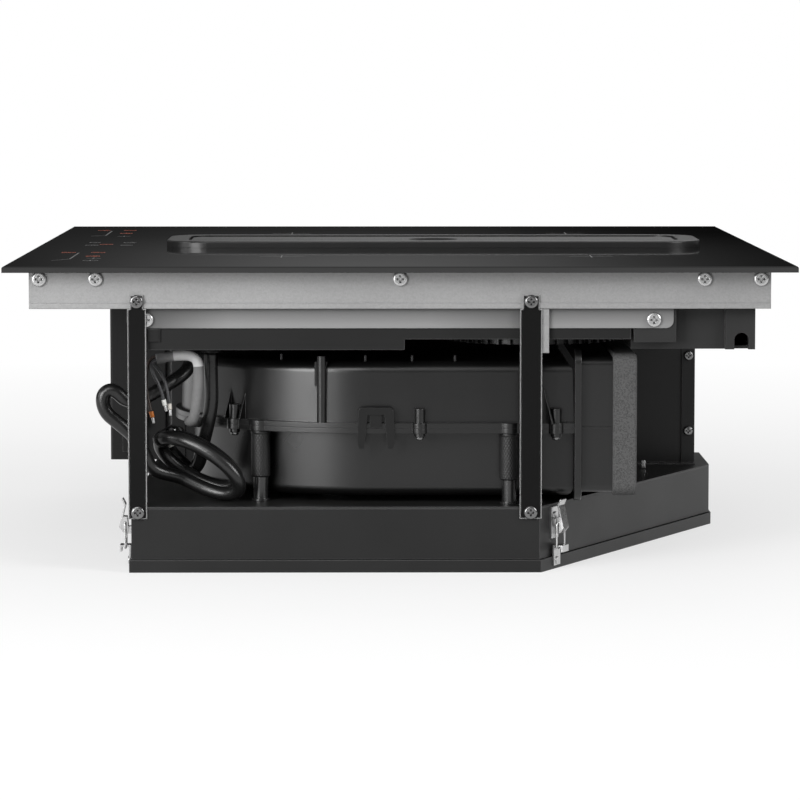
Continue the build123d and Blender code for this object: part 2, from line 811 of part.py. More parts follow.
seam_z_top = down(seam_top)
seam_z_low = down(seam_bottom)
seam_mid = (seam_z_top + seam_z_low) / 2
shell_top = down(blower_top)
shell_low = down(blower_bottom)
plain_boss = (13.0, -271.0)
ribbed_bosses = ((-110.7, -236.0), (103.3, -271.0), (-106.0, -45.6), (30.0, -44.0))
boss_spots = ribbed_bosses + (plain_boss,)
boss_radius = 3.6
boss_high = 9.6  # above the seam flange
boss_low = 2.4  # and below it
rib_high = 22.0
rib_thin = 1.4
column_x = -52.0
column_radius = 3.1
crown_fin_x = (-79.0, -23.0, 8.0, 36.5)
fin_high = 4.0
boss_seats = [seat_on((x, y, seam_z_low - boss_low), (0, 0, -1)) for x, y in boss_spots]


def near_wall(x):
    """The Y of the blower's near wall, which curves away to the left."""
    return spiral_y - sqrt(spiral_radius**2 - min(0, x - spiral_x) ** 2)


def damper_lugs(z, thick):
    """Round ears on the seam flange, one over each damper."""
    with BuildSketch(Plane.XY.offset(z)) as ears:
        with Locations(*damper_spots):
            Circle(damper_radius + 1.2)
        with Locations(*boss_spots):
            Circle(boss_radius + 1.6)
    return extrude(ears.sketch, amount=thick, mode=Mode.PRIVATE)


with BuildPart() as blower_upper:
    add(extrude(lift(volute_outline(0), seam_mid), amount=shell_top - seam_mid, taper=1.5, mode=Mode.PRIVATE))
    crown = blower_upper.faces().sort_by(Axis.Z)[-1]
    fillet(crown.edges(), 7)
    add(
        extrude(
            lift(volute_outline(-shell_wall), seam_mid),
            amount=shell_top - shell_wall - seam_mid,
            taper=1.5,
            mode=Mode.PRIVATE,
        ),
        mode=Mode.SUBTRACT,
    )
    seam_band = volute_outline(seam_proud) - volute_outline(-shell_wall)
    add(extrude(lift(seam_band, seam_mid), amount=seam_z_top - seam_mid, mode=Mode.PRIVATE))
    shell_space = extrude(lift(volute_outline(0), seam_z_low - 1), amount=9, mode=Mode.PRIVATE)
    add(damper_lugs(seam_mid, seam_z_top - seam_mid) - shell_space)
    block(
        (outlet_x - shell_wall - 1, outlet_x + 1),
        (outlet_y[0] + shell_wall, outlet_y[1] - shell_wall),
        (seam_mid - 1, down(duct_drop[0] + 4)),
        mode=Mode.SUBTRACT,
    )
    # screw bosses, all but one with a three-cornered rib each side, down the wall to the seam
    for x, y in boss_spots:
        with Locations((x, y, seam_z_top + boss_high / 2)):
            Cylinder(boss_radius, boss_high)
    for x, y in ribbed_bosses:
        inward = Vector(wheel_x - x, wheel_y - y, 0).normalized()
        across = Vector(-inward.Y, inward.X, 0)
        for side in (-1, 1):
            foot = Vector(x, y, seam_z_top) + across * side * (boss_radius + 3)
            rib_plane = Plane(origin=foot, x_dir=inward, z_dir=-across)
            with BuildSketch(rib_plane):
                with BuildLine():
                    Polyline((-3.5, 0), (9, 0), (9, rib_high), (4.5, rib_high), close=True)
                make_face()
            extrude(amount=rib_thin / 2, both=True)
    # a round column up the near wall, its own slanted fin, and low fins across the crown
    column_y = near_wall(column_x) + shell_wall - 0.1 - column_radius
    with Locations((column_x, column_y, (seam_z_top + shell_top + fin_high) / 2)):
        Cylinder(column_radius, shell_top + fin_high - seam_z_top)
    with BuildSketch(Plane(origin=(column_x, column_y + 2.5, shell_top), z_dir=(0, -1, 0))):
        with BuildLine():
            Polyline((0, -4.5), (0, fin_high), (16, -1), (16, -4.5), close=True)
        make_face()
    extrude(amount=rib_thin / 2, both=True)
    for x in crown_fin_x:
        fin_y = near_wall(x) + 8
        block((x - rib_thin / 2, x + rib_thin / 2), (fin_y, fin_y + 12), (shell_top - 1, shell_top + fin_high))
    # the tongue that parts the spiral from the outlet
    tongue_cx = spiral_x - spiral_step[0]
    tongue_cy = spiral_y + spiral_step[1]
    tongue_r = spiral_radius - spiral_step[0] - spiral_step[1]
    with BuildSketch(Plane.XY.offset(seam_mid)):
        with BuildLine():
            CenterArc((tongue_cx, tongue_cy), tongue_r, 5, 45)
            CenterArc((tongue_cx, tongue_cy), tongue_r - shell_wall, 5, 45)
            for turn in (5, 50):
                way = Vector(cos(radians(turn)), sin(radians(turn)))
                outer = Vector(tongue_cx, tongue_cy) + way * tongue_r
                Line(outer, outer - way * shell_wall)
        make_face()
    extrude(amount=shell_top - shell_wall - seam_mid)
save(blower_upper, "blower_upper")

with BuildPart() as blower_lower:
    bowl = lift(volute_outline(-lower_inset), shell_low)
    add(extrude(bowl, amount=seam_mid - shell_low, mode=Mode.PRIVATE))
    keel = blower_lower.faces().sort_by(Axis.Z)[0]
    fillet(keel.edges(), 6)
    add(
        extrude(
            lift(volute_outline(-lower_inset - shell_wall), shell_low + shell_wall),
            amount=seam_mid - shell_low,
            mode=Mode.PRIVATE,
        ),
        mode=Mode.SUBTRACT,
    )
    seam_band = volute_outline(seam_proud) - volute_outline(-lower_inset - shell_wall)
    add(extrude(lift(seam_band, seam_z_low), amount=seam_mid - seam_z_low, mode=Mode.PRIVATE))
    add(damper_lugs(seam_z_low, seam_mid - seam_z_low) - shell_space)
    block(
        (outlet_x - lower_inset - shell_wall - 1, outlet_x + 1),
        (outlet_y[0] + lower_inset + shell_wall, outlet_y[1] - lower_inset - shell_wall),
        (down(duct_drop[1] - 1), seam_mid + 1),
        mode=Mode.SUBTRACT,
    )
    with Locations((wheel_x, wheel_y, shell_low)):
        Cylinder(eye_radius, 4 * shell_wall, mode=Mode.SUBTRACT)
    with BuildSketch(Plane.XY.offset(tray_roof)):
        with Locations((wheel_x, wheel_y)):
            Circle(eye_radius + shell_wall)
            Circle(eye_radius, mode=Mode.SUBTRACT)
    extrude(amount=shell_low + shell_wall - tray_roof)
    for x, y in boss_spots:
        with Locations((x, y, seam_z_low - boss_low / 2)):
            Cylinder(boss_radius, boss_low)
    drill(boss_seats, button_shank / 2 + 0.1, 2)
save(blower_lower, "blower_lower")

with BuildPart() as motor:
    can_top = shell_top - shell_wall
    with Locations((wheel_x, wheel_y, can_top - motor_high / 2)):
        Cylinder(motor_radius, motor_high)
    chamfer(motor.faces().sort_by(Axis.Z)[0].edges(), 3)
    with Locations((wheel_x, wheel_y, can_top - 2)):
        with PolarLocations(motor_radius + 5, 3):
            Cylinder(6, 4)
    with Locations((wheel_x, wheel_y, can_top - motor_high)):
        Cylinder(shaft_radius + 0.06, 60, mode=Mode.SUBTRACT)
save(motor, "motor")

hub_z = down(wheel_drop[0])
rim_z = down(wheel_drop[1])
shaft_low = can_top - motor_high - 16
with BuildPart() as motor_shaft:
    shaft_high = can_top - 4 - shaft_low
    with Locations((wheel_x, wheel_y, shaft_low + shaft_high / 2)):
        Cylinder(shaft_radius, shaft_high)
save(motor_shaft, "motor_shaft")

with BuildSketch() as blade:
    with BuildLine():
        RadiusArc((-7.5, 0.5), (7.5, 3.5), 11)
        Line((7.5, 3.5), (7.9, 2.6))
        RadiusArc((7.9, 2.6), (-7.2, -0.5), -12)
        Line((-7.2, -0.5), (-7.5, 0.5))
    make_face()

with BuildPart() as impeller:
    # a deep cup round the motor, flaring out to the plate that carries the blades
    cup_low = can_top - motor_high - 12
    cup_r = motor_radius + 4
    with BuildSketch(Plane.XZ.offset(-wheel_y)):
        with BuildLine():
            Polyline(
                (wheel_x + shaft_radius, cup_low),
                (wheel_x + cup_r - 4, cup_low),
                (wheel_x + cup_r + 2, cup_low + 5),
                (wheel_x + cup_r + 9, hub_z),
                (wheel_x + wheel_radius, hub_z),
                (wheel_x + wheel_radius, hub_z + 2),
                (wheel_x + cup_r + 7, hub_z + 2),
                (wheel_x + cup_r, cup_low + 6.5),
                (wheel_x + cup_r - 5, cup_low + 2.5),
                (wheel_x + 9, cup_low + 2.5),
                (wheel_x + 9, cup_low + 9),
                (wheel_x + shaft_radius, cup_low + 9),
                close=True,
            )
        make_face()
    revolve(axis=Axis((wheel_x, wheel_y, 0), (0, 0, 1)))
    with BuildSketch(Plane.XY.offset(rim_z)):
        with Locations((wheel_x, wheel_y)):
            Circle(wheel_radius)
            Circle(wheel_radius - 4, mode=Mode.SUBTRACT)
    extrude(amount=3)
    # forward-curved blades between the rim and the hub plate
    with BuildSketch(Plane.XY.offset(rim_z + 1)):
        with Locations((wheel_x, wheel_y)):
            with PolarLocations(wheel_radius - 8.6, wheel_blades):
                add(blade.sketch)
    extrude(amount=hub_z - rim_z)
save(impeller, "impeller")

# ---- outlet ----------------------------------------------------------------------------

duct_mid_y = (duct_y[0] + duct_y[1]) / 2
duct_mid_z = down((duct_drop[0] + duct_drop[1]) / 2)
duct_wide = duct_y[1] - duct_y[0]
duct_tall = duct_drop[1] - duct_drop[0]


def duct_plane(x):
    """A plane across the duct: its local x is world Y, its local y is world Z."""
    return Plane(origin=(x, duct_mid_y, duct_mid_z), x_dir=(0, 1, 0), z_dir=(1, 0, 0))


with BuildPart() as outlet_duct:
    with BuildSketch(duct_plane(outlet_x)):
        RectangleRounded(flange_y[1] - flange_y[0], flange_drop[1] - flange_drop[0], 9)
    extrude(amount=flange_thick)
    fillet(outlet_duct.faces().sort_by(Axis.X)[-1].edges(), 1)
    with BuildSketch(duct_plane(outlet_x)):
        RectangleRounded(duct_wide, duct_tall, 5)
    extrude(amount=duct_end - outlet_x)
    with BuildSketch(duct_plane(outlet_x - 1)):
        RectangleRounded(duct_wide - 2 * duct_wall, duct_tall - 2 * duct_wall, 3)
    extrude(amount=duct_end - outlet_x + 2, mode=Mode.SUBTRACT)
    for side in (-1, 1):
        y = duct_mid_y + side * duct_wide / 2
        block((outlet_x, foam_x), (y, y + side * 0.8), (seam_mid - 0.6, seam_mid + 0.6))
save(outlet_duct, "outlet_duct")

with BuildPart() as foam_seal:
    with BuildSketch(duct_plane(foam_x)):
        RectangleRounded(duct_wide + 2 * foam_thick, duct_tall + 2 * foam_thick, 7)
        RectangleRounded(duct_wide + 0.02, duct_tall + 0.02, 5.01, mode=Mode.SUBTRACT)
    extrude(amount=duct_end - foam_x)
save(foam_seal, "foam_seal")

# ---- snap clips, dampers and the small screws ------------------------------------------

clip_thick = 2.2
clip_spots = ((-16.0, outlet_y[0] - seam_proud, -1), (100.5, outlet_y[1] + seam_proud, 1))
with BuildPart() as blower_clips:
    # an A-shaped snap: two legs that taper below the seam, and a short tongue between them
    for x, y, side in clip_spots:
        seat = Plane(origin=(x, y, 0), x_dir=(1, 0, 0), z_dir=(0, -1, 0))
        with BuildSketch(seat) as clip_face:
            with BuildLine():
                Polyline(
                    (-12.4, seam_z_top - 13),
                    (-11.7, seam_z_top + 10.6),
                    (11.7, seam_z_top + 10.6),
                    (12.4, seam_z_top - 13),
                    (11.2, seam_z_top - 16.8),
                    (7.6, seam_z_top - 16.8),
                    (5.5, seam_z_top + 5.9),
                    (-5.5, seam_z_top + 5.9),
                    (-7.6, seam_z_top - 16.8),
                    (-11.2, seam_z_top - 16.8),
                    close=True,
                )
            make_face()
            fillet(clip_face.vertices().group_by(Axis.Y)[-1], 3)
        extrude(amount=-side * clip_thick)
        tongue_z = (seam_z_top - 2.8, seam_z_top + 6.5)
        block((x - 3.9, x + 3.9), (y, y + side * clip_thick / 2), tongue_z)
save(blower_clips, "blower_clips")

with BuildPart() as damper_sleeves:
    sleeve_z = (down(damper_drop[1]), seam_z_low)
    for x, y in damper_spots:
        with BuildSketch(Plane.XY.offset(sleeve_z[0])):
            with Locations((x, y)):
                Circle(damper_radius - 0.5)
                with PolarLocations(damper_radius - 0.5, 16):
                    Circle(0.55)
        extrude(amount=sleeve_z[1] - sleeve_z[0])
        with Locations((x, y, sleeve_z[1] - 1.2)):
            Cylinder(damper_radius, 2.4)
        with Locations((x, y, sleeve_z[0] + 6)):
            Cylinder(pin_radius - 1.5 + 0.05, 12.1, mode=Mode.SUBTRACT)
save(damper_sleeves, "damper_sleeves")

with BuildPart() as damper_pins:
    for x, y in damper_spots:
        with BuildSketch(Plane.XY.offset(tray_roof)):
            with Locations((x, y)):
                Circle(pin_radius + 1.2)
        extrude(amount=1.6)
        with BuildSketch(Plane.XY.offset(tray_roof)):
            with Locations((x, y)):
                Circle(pin_radius)
        extrude(amount=sleeve_z[0] - tray_roof)
        with BuildSketch(Plane.XY.offset(sleeve_z[0])):
            with Locations((x, y)):
                Circle(pin_radius - 1.5)
        extrude(amount=11)
save(damper_pins, "damper_pins")


# ---- posts and hanger ------------------------------------------------------------------


def post(x_range):
    """A folded strap: a narrow tongue on the frame, then a web with two inward flanges."""
    web = (-face_y - sheet, -face_y)
    tongue = (x_range[0] + post_tongue_inset, x_range[1] - post_tongue_inset)
    body_top = down(glass_thick + frame_drop)
    foot = tray_roof + fit_gap
    with BuildPart() as strap:
        block(tongue, web, (down(post_top), body_top))
        block(x_range, web, (down(post_bottom), body_top))
        for edge, way in ((x_range[0], 1), (x_range[1], -1)):
            block((edge, edge + way * sheet), (web[1], web[1] + post_flange), (foot, down(post_flange_top)))
        mid_x = (x_range[0] + x_range[1]) / 2
        for drop in post_screw_drop:
            with Locations(Location((mid_x, -face_y, down(drop)), (90, 0, 0))):
                Cylinder(screw_shank / 2 + 0.1, 4 * sheet, mode=Mode.SUBTRACT)
    return strap


save(post(post_left_x), "post_left")
save(post(post_right_x), "post_right")

with BuildPart() as hanger_bracket:
    bracket_low = down(post_flange_top) + fit_gap
    bracket_x = (post_right_x[0] + 3, post_right_x[1] + 4.6)
    block(bracket_x, (-face_y, -face_y + sheet), (bracket_low, down(glass_thick + frame_drop) - fit_gap))
    block(
        (bracket_x[1] - sheet, bracket_x[1]),
        (-face_y, -base_outer_y + 8),
        (bracket_low, down(base_shallow) - fit_gap),
    )
save(hanger_bracket, "hanger_bracket")

# ---- dark screws: posts, tray, plenum and the blower's bosses --------------------------

button_screw = pan_screw(button_head, button_high, button_shank, 2 * sheet)
post_screw = pan_screw(screw_head - 0.8, button_high + 0.4, screw_shank, 3)
boss_screw = pan_screw(5.4, 2.2, button_shank, 1.5)
with BuildPart() as housing_screws:
    with Locations(*post_top_seats, *post_foot_seats):
        add(post_screw)
    with Locations(*plenum_seats):
        add(button_screw)
    with Locations(*boss_seats):
        add(boss_screw)
save(housing_screws, "housing_screws")

# ---- draw latches ----------------------------------------------------------------------

chamfer_way = Vector(tray_right - tray_corner_x, tray_corner_y - tray_near, 0).normalized()
chamfer_out = Vector(chamfer_way.Y, -chamfer_way.X, 0)
chamfer_spot = Vector(tray_corner_x, tray_near, 0) + chamfer_way * latch_from_corner
latch_z = seam_z + latch_pivot_high
latch_places = {
    "left": (Vector(tray_left, tray_near + latch_from_corner, latch_z), Vector(-1, 0, 0)),
    "right": (chamfer_spot + Vector(0, 0, latch_z), chamfer_out),
    "back": (Vector(cover_x, tray_back, latch_z), Vector(0, 1, 0)),
}
pivot = latch_pivot_out
hook_x = pivot
bail_drop = latch_crank - bail_length  # bail's cross bar, below the pivot
roof_under = bail_drop + bail_wire + 0.2


def latch_plane(place, aside=0.0):
    """A plane through a latch: local x outwards from the tray, local y upwards."""
    spot, outward = place
    across = outward.cross(Vector(0, 0, 1))
    return Plane(origin=spot + across * aside, x_dir=outward, z_dir=across)


def plate(place, points, half, bore=None, mode=Mode.ADD):
    """A closed profile across the latch, drawn out to both sides of its middle."""
    with BuildSketch(latch_plane(place)) as profile:
        with BuildLine():
            Polyline(*points, close=True)
        make_face()
        for spot, radius in bore or []:
            with Locations(spot):
                Circle(radius, mode=Mode.SUBTRACT)
    return extrude(profile.sketch, amount=half, both=True, mode=Mode.PRIVATE)


def latch_disc(place, spot, radius, half):
    with BuildSketch(latch_plane(place)) as profile:
        with Locations(spot):
            Circle(radius)
    return extrude(profile.sketch, amount=half, both=True, mode=Mode.PRIVATE)


ear_out = 3.2  # outer face of the base's ears, half width
ear_in = 2.2
with BuildPart() as latch_bases:
    for place in latch_places.values():
        add(plate(place, [(0, -5.5), (1, -5.5), (1, 15.5), (0, 15.5)], 5.4))
        ear = [(0.5, -2.4), (pivot, -2.4), (pivot + 2, -1), (pivot + 2, 1), (pivot, 2.4), (0.5, 2.4)]
        ears = plate(place, ear, ear_out) - plate(place, ear, ear_in)
        add(ears)
        add(latch_disc(place, (pivot, 0), 1.0, lever_half))
        head = latch_plane(place)
        with BuildSketch(Plane(origin=head.origin + head.x_dir + Vector(0, 0, 9.5), z_dir=head.x_dir)):
            Circle(2.6)
        extrude(amount=1.0)
save(latch_bases, "latch_bases")

with BuildPart() as latch_keepers:
    lid_face = lid_proud
    lip = 3.3
    hook_out = hook_x + 3.7
    for place in latch_places.values():
        hook = [
            (lid_face, -23.5),
            (lid_face + sheet, -23.5),
            (lid_face + sheet, roof_under),
            (hook_out - sheet, roof_under),
            (hook_out - sheet, roof_under - lip),
            (hook_out, roof_under - lip),
            (hook_out, roof_under + sheet),
            (lid_face, roof_under + sheet),
        ]
        add(plate(place, hook, 5.0))
        head = latch_plane(place)
        spot = head.origin + head.x_dir * (lid_face + sheet) + Vector(0, 0, -20.5)
        with BuildSketch(Plane(origin=spot, z_dir=head.x_dir)):
            Circle(2.6)
        extrude(amount=0.8)
save(latch_keepers, "latch_keepers")


def latch_lever(place):
    """Sheet lever: a web with two cheeks, bored for the pivot pin and the bail."""
    web_line = [
        (pivot + 3.2, 1.6),
        (pivot - 0.4, 17.0),
        (pivot + 1.6, 21.0),
        (pivot + 2.4, 20.4),
        (pivot + 0.8, 16.8),
        (pivot + 4.2, 1.8),
    ]
    cheek_line = [
        (pivot - 2.0, 0),
        (pivot - 1.2, -1.8),
        (pivot + 1.2, -1.8),
        (pivot + 4.1, 1.8),
        (pivot + 2.5, 9.0),
        (pivot - 1.0, 9.0),
        (pivot - 1.8, 4.0),
    ]
    bores = [((pivot, 0), 1.06), ((pivot, latch_crank), bail_wire + 0.08)]
    with BuildPart() as lever:
        add(plate(place, web_line, lever_half))
        cheeks = plate(place, cheek_line, lever_half, bores)
        add(cheeks - plate(place, cheek_line, lever_half - cheek))
    return lever


def latch_bail(place):
    """Wire loop: its upper bar turns in the lever, its lower bar pulls up on the hook."""
    frame_plane = latch_plane(place)
    across = frame_plane.z_dir
    crank = frame_plane.origin + frame_plane.x_dir * pivot + Vector(0, 0, latch_crank)
    low = crank - Vector(0, 0, bail_length)
    with BuildPart() as bail:
        for side in (-1, 1):
            arm = across * side * bail_half
            with BuildPart(mode=Mode.PRIVATE) as half:
                with BuildLine():
                    FilletPolyline(crank, crank + arm, low + arm, low, radius=1.6)
                with BuildSketch(Plane(origin=crank, z_dir=arm)):
                    Circle(bail_wire)
                sweep()
            add(half.part)
    return bail


for name, place in latch_places.items():
    save(latch_lever(place), f"latch_lever_{name}")
    save(latch_bail(place), f"latch_bail_{name}")

# ---- cables ----------------------------------------------------------------------------

base_floor = down(base_deep)
with BuildPart() as cable_grommets:
    for x, y in (cable_exit, cable_return):
        with BuildSketch(Plane.XY.offset(base_floor - 4)):
            with Locations((x, y)):
                Circle(grommet_neck + grommet_flange)
        extrude(amount=4, taper=8)
        with BuildSketch(Plane.XY.offset(base_floor - 1)):
            with Locations((x, y)):
                Circle(grommet_neck - 0.1)
        extrude(amount=sheet + 3)
save(cable_grommets, "cable_grommets")

# The stowed supply cable: it drops out of one grommet behind the coil, turns nearly twice
# in a slanted oval that comes forward, climbs to the left post, makes a hairpin outside
# it and goes back up into the other grommet.
loop_centre = Vector(-134.8, -258.0, 67.4)
loop_long = Vector(28.0, -4.0, -16.4)  # from the middle to the lower right end
loop_short = Vector(7.0, -12.0, 10.6)  # from the middle to the upper front strand
loop_rise = Vector(0.8, 13.4, 1.2)  # from one turn to the one behind it
loop_from = -125.0  # degrees, counted from the lower right end; it turns downwards there
loop_to = -806.0
loop_shrink = 0.10  # how much smaller the turn behind is


def loop_point(angle):
    behind = (angle - loop_to) / 360
    size = 1 - loop_shrink * behind
    a = radians(angle)
    return loop_centre + loop_rise * behind + (loop_long * cos(a) + loop_short * sin(a)) * size


def loop_heading(angle):
    return (loop_point(angle - 0.5) - loop_point(angle + 0.5)).normalized()


def biarc(start, start_way, end, end_way):
    """Two arcs that join two points and keep both headings."""
    reach = end - start
    ways = start_way + end_way
    curve = 2 * (start_way.dot(end_way) - 1)
    along = reach.dot(ways)
    arm = (along - sqrt(along * along - curve * reach.dot(reach))) / curve
    first = start + start_way * arm
    second = end - end_way * arm
    middle = (first + second) * 0.5
    TangentArc(start, middle, tangent=start_way)
    TangentArc(middle, end, tangent=(second - first).normalized())


def corner_radii(points):
    """Each corner's arc is as large as its two runs allow."""
    radii = []
    for before, at, after in zip(points, points[1:], points[2:]):
        run_in = Vector(*at) - Vector(*before)
        run_out = Vector(*after) - Vector(*at)
        half_turn = radians(run_in.get_angle(run_out)) / 2
        radii.append(0.45 * min(run_in.length, run_out.length) / tan(half_turn))
    return radii


def tube(points, radius, name):
    """A round tube along straight runs joined by tangent arcs."""
    points = [tuple(Vector(*p)) for p in points]
    radii = corner_radii(points)
    with BuildPart() as hose:
        with BuildLine() as route:
            FilletPolyline(*points, radius=radii)
        way = Vector(*points[1]) - Vector(*points[0])
        with BuildSketch(Plane(origin=points[0], z_dir=way)):
            Circle(radius)
        sweep()
    length = sum(edge.length for edge in route.edges())
    ratio = hose.part.volume / (pi * radius**2 * length)
    print(name, "length", round(length, 1), "tightest", round(min(radii), 1), "volume ratio", round(ratio, 4))
    return hose.part


loop_start = loop_point(loop_from)
loop_end = loop_point(loop_to)
start_way = loop_heading(loop_from)
end_way = loop_heading(loop_to)
cable_mouth = base_floor - 4
cable_down = [
    (cable_exit[0], cable_exit[1], cable_mouth),
    (cable_exit[0], cable_exit[1], 126.0),
    (-125.5, -244.0, 110.0),
    (-128.5, -240.0, 94.0),
    (-132.5, -233.5, 79.0),
    (-135.0, -226.5, 66.0),
    (-141.0, -222.5, 60.5),
    tuple(loop_start - start_way * 6),
    tuple(loop_start),
]
cable_back = [
    tuple(loop_end),
    tuple(loop_end + end_way * 8),
    (-165.5, -252.0, 64.0),
    (-170.5, -256.0, 77.0),
    (-177.0, -260.0, 88.5),
    (-187.0, -262.0, 97.0),
    (-196.0, -263.0, 104.5),
    (-198.0, -263.0, 116.0),
    (-190.5, -262.5, 120.5),
    (-181.0, -261.0, 110.5),
    (-169.0, -257.0, 113.5),
    (-154.5, -252.0, 122.0),
    (-143.0, -243.5, 129.0),
    (cable_return[0], cable_return[1], 136.0),
    (cable_return[0], cable_return[1], cable_mouth),
]
with BuildPart() as supply_cable:
    add(tube(cable_down, cable_radius, "supply cable, down"))
    add(tube(cable_back, cable_radius, "supply cable, back"))
save(supply_cable, "supply_cable")

quarter_turns = round(abs(loop_to - loop_from) / 80)
stops = [loop_from + (loop_to - loop_from) * i / quarter_turns for i in range(quarter_turns + 1)]
with BuildPart() as cable_loops:
    with BuildLine() as turns:
        for one, two in zip(stops, stops[1:]):
            biarc(loop_point(one), loop_heading(one), loop_point(two), loop_heading(two))
    with BuildSketch(Plane(origin=loop_start, z_dir=start_way)):
        Circle(cable_radius)
    sweep()
save(cable_loops, "cable_loops")
angles = [loop_from + (loop_to - loop_from) * i / 400 for i in range(401)]
centres = [loop_point(a) for a in angles]
least = min(
    (centres[i] - centres[j]).length
    for i in range(401)
    for j in range(i + 1, 401)
    if abs(angles[j] - angles[i]) > 150
)
loop_length = sum(edge.length for edge in turns.edges())
print("loops' least gap to themselves", round(least - 2 * cable_radius, 2), "length", round(loop_length, 1))

# the grey sleeve leaves a clip on the blower's seam, climbs in front of the cable and
# bends over to the left, where its three wires hang free
sleeve_route = [
    (-127.7, -226.7, seam_mid),
    (-134.5, -232.3, seam_mid),
    (-142.0, -243.0, 97.0),
    (-138.5, -257.0, 97.0),
    (-136.0, -261.0, 104.0),
    (-134.5, -262.0, 116.0),
    (-133.4, -262.0, 128.0),
    (-134.0, -262.0, 141.5),
    (-148.0, -261.5, 142.5),
    (-161.5, -261.0, 139.5),
]
with BuildPart() as wire_sleeve:
    add(tube(sleeve_route, sleeve_radius, "sleeve"))
save(wire_sleeve, "wire_sleeve")

sleeve_tip = Vector(*sleeve_route[-1])
sleeve_way = (sleeve_tip - Vector(*sleeve_route[-2])).normalized()
sleeve_face = Plane(origin=sleeve_tip, x_dir=(0, 1, 0), z_dir=sleeve_way)
wire_routes = [
    ((0.3, -1.7), [(-168.0, -264.0, 132.0), (-168.5, -266.0, 119.0), (-165.0, -266.0, 105.0)]),
    ((-1.7, 0.6), [(-164.0, -268.0, 131.0), (-158.5, -269.0, 121.5), (-156.5, -268.0, 113.0)]),
    ((1.7, 1.0), [(-159.0, -259.0, 131.0), (-154.5, -263.0, 122.0), (-153.0, -264.0, 110.0)]),
]
ferrule_radius = 1.5
ferrule_long = 8.0
barrel_radius = 1.0
with BuildPart() as control_wires:
    for (aside, up), route in wire_routes:
        root = sleeve_tip + sleeve_face.x_dir * aside + sleeve_face.y_dir * up
        add(tube([tuple(root), tuple(root + sleeve_way * 4)] + route, wire_radius, "wire"))
        # a crimped ferrule on the bared end: a coloured collar and a thin metal barrel
        tip = Vector(*route[-1])
        way = (tip - Vector(*route[-2])).normalized()
        with BuildSketch(Plane(origin=tip, z_dir=way)):
            Circle(ferrule_radius)
        extrude(amount=ferrule_long / 2)
        with BuildSketch(Plane(origin=tip + way * ferrule_long / 2, z_dir=way)):
            Circle(barrel_radius)
        extrude(amount=ferrule_long / 2)
save(control_wires, "control_wires")
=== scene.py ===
from math import radians

import bmesh
import bpy
import numpy as np
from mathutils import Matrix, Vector


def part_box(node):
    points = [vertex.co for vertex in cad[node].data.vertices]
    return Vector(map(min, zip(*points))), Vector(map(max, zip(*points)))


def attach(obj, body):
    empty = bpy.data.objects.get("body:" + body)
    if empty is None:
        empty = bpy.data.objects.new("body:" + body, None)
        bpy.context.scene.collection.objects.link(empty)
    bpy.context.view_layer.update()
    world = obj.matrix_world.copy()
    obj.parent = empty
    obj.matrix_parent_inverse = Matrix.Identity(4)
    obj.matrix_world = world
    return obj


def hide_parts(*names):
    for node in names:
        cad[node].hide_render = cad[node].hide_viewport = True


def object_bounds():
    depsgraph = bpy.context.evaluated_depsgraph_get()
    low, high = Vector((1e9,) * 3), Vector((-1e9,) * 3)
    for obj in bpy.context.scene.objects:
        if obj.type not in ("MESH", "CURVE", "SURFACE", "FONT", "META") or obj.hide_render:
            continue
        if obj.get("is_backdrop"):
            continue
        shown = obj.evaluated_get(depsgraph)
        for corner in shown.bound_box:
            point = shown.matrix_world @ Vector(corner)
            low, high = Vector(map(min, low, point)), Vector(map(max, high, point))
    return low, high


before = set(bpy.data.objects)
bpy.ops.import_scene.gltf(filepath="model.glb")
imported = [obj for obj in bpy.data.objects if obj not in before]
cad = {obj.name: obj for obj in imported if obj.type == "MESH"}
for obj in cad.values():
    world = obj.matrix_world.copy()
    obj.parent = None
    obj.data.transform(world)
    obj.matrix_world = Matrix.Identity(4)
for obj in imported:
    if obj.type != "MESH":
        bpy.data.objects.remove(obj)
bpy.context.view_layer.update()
mm = 0.001

# the studio and the finishes are in metres, the pieces and the marks in millimetres
studio = {
    "cameraAt": (-0.0187, -2.756, 0.3371),
    "lookAt": (0, 0, 0.1),  # where every lamp points
    "tiltDown": 5.15,  # degrees below level
    "panRight": 0.43,
    "lens": 169.7,
    "clip": (0.05, 30),
    "floorReach": 6.0,  # from the middle to each edge
    "floorCloud": 0.02,  # how much paler its pale clouds are
    "floorTone": 0.84,
    "floorBounced": 0.3,  # how pale the floor is in the soft light that it throws back
    "floorWhite": 0.62,  # how much of the floor near the object is plain white already
    "floorFade": (0.45, 1.5),  # metres from the middle over which the floor turns to plain white
    "skyHigh": 0.55,  # light from straight above, for every ray but the camera's
    "skyCurve": 0.8,  # under 1, it brightens sooner
    "skyLow": 0.015,  # light from the horizon
    "skyStart": 0.06,  # height, as the sine of the elevation, at which the sky begins to brighten
    "glowPeak": 0.112,  # a paler patch low at the back, which the glass shows
    "glowWide": 0.073,
    "glowFall": 8,  # how fast the low light gives way to the plain sky, per unit of height
    "glowRise": (0.0455, 0.0065),  # the height where the patch begins, and how fast it comes up
    "glowBase": (0.008, 0.10),  # light under the patch, and its fall towards the right
    "glowBaseMost": 0.03,
    "lamps": [  # name, place, size, watts
        ("lampNear", (-0.6, -2.1, 1.45), 1.0, 12),
        ("lampSide", (-1.5, -2.1, 0.65), 1.2, 50),
        ("lampLeft", (-2.2, -0.9, 0.7), 0.8, 10),
        ("lampRight", (2.0, -1.5, 1.15), 1.1, 36),
        ("lampBack", (0.4, 1.9, 1.8), 1.4, 13),
    ],
}

scene = bpy.context.scene
scene.view_settings.view_transform = "Standard"

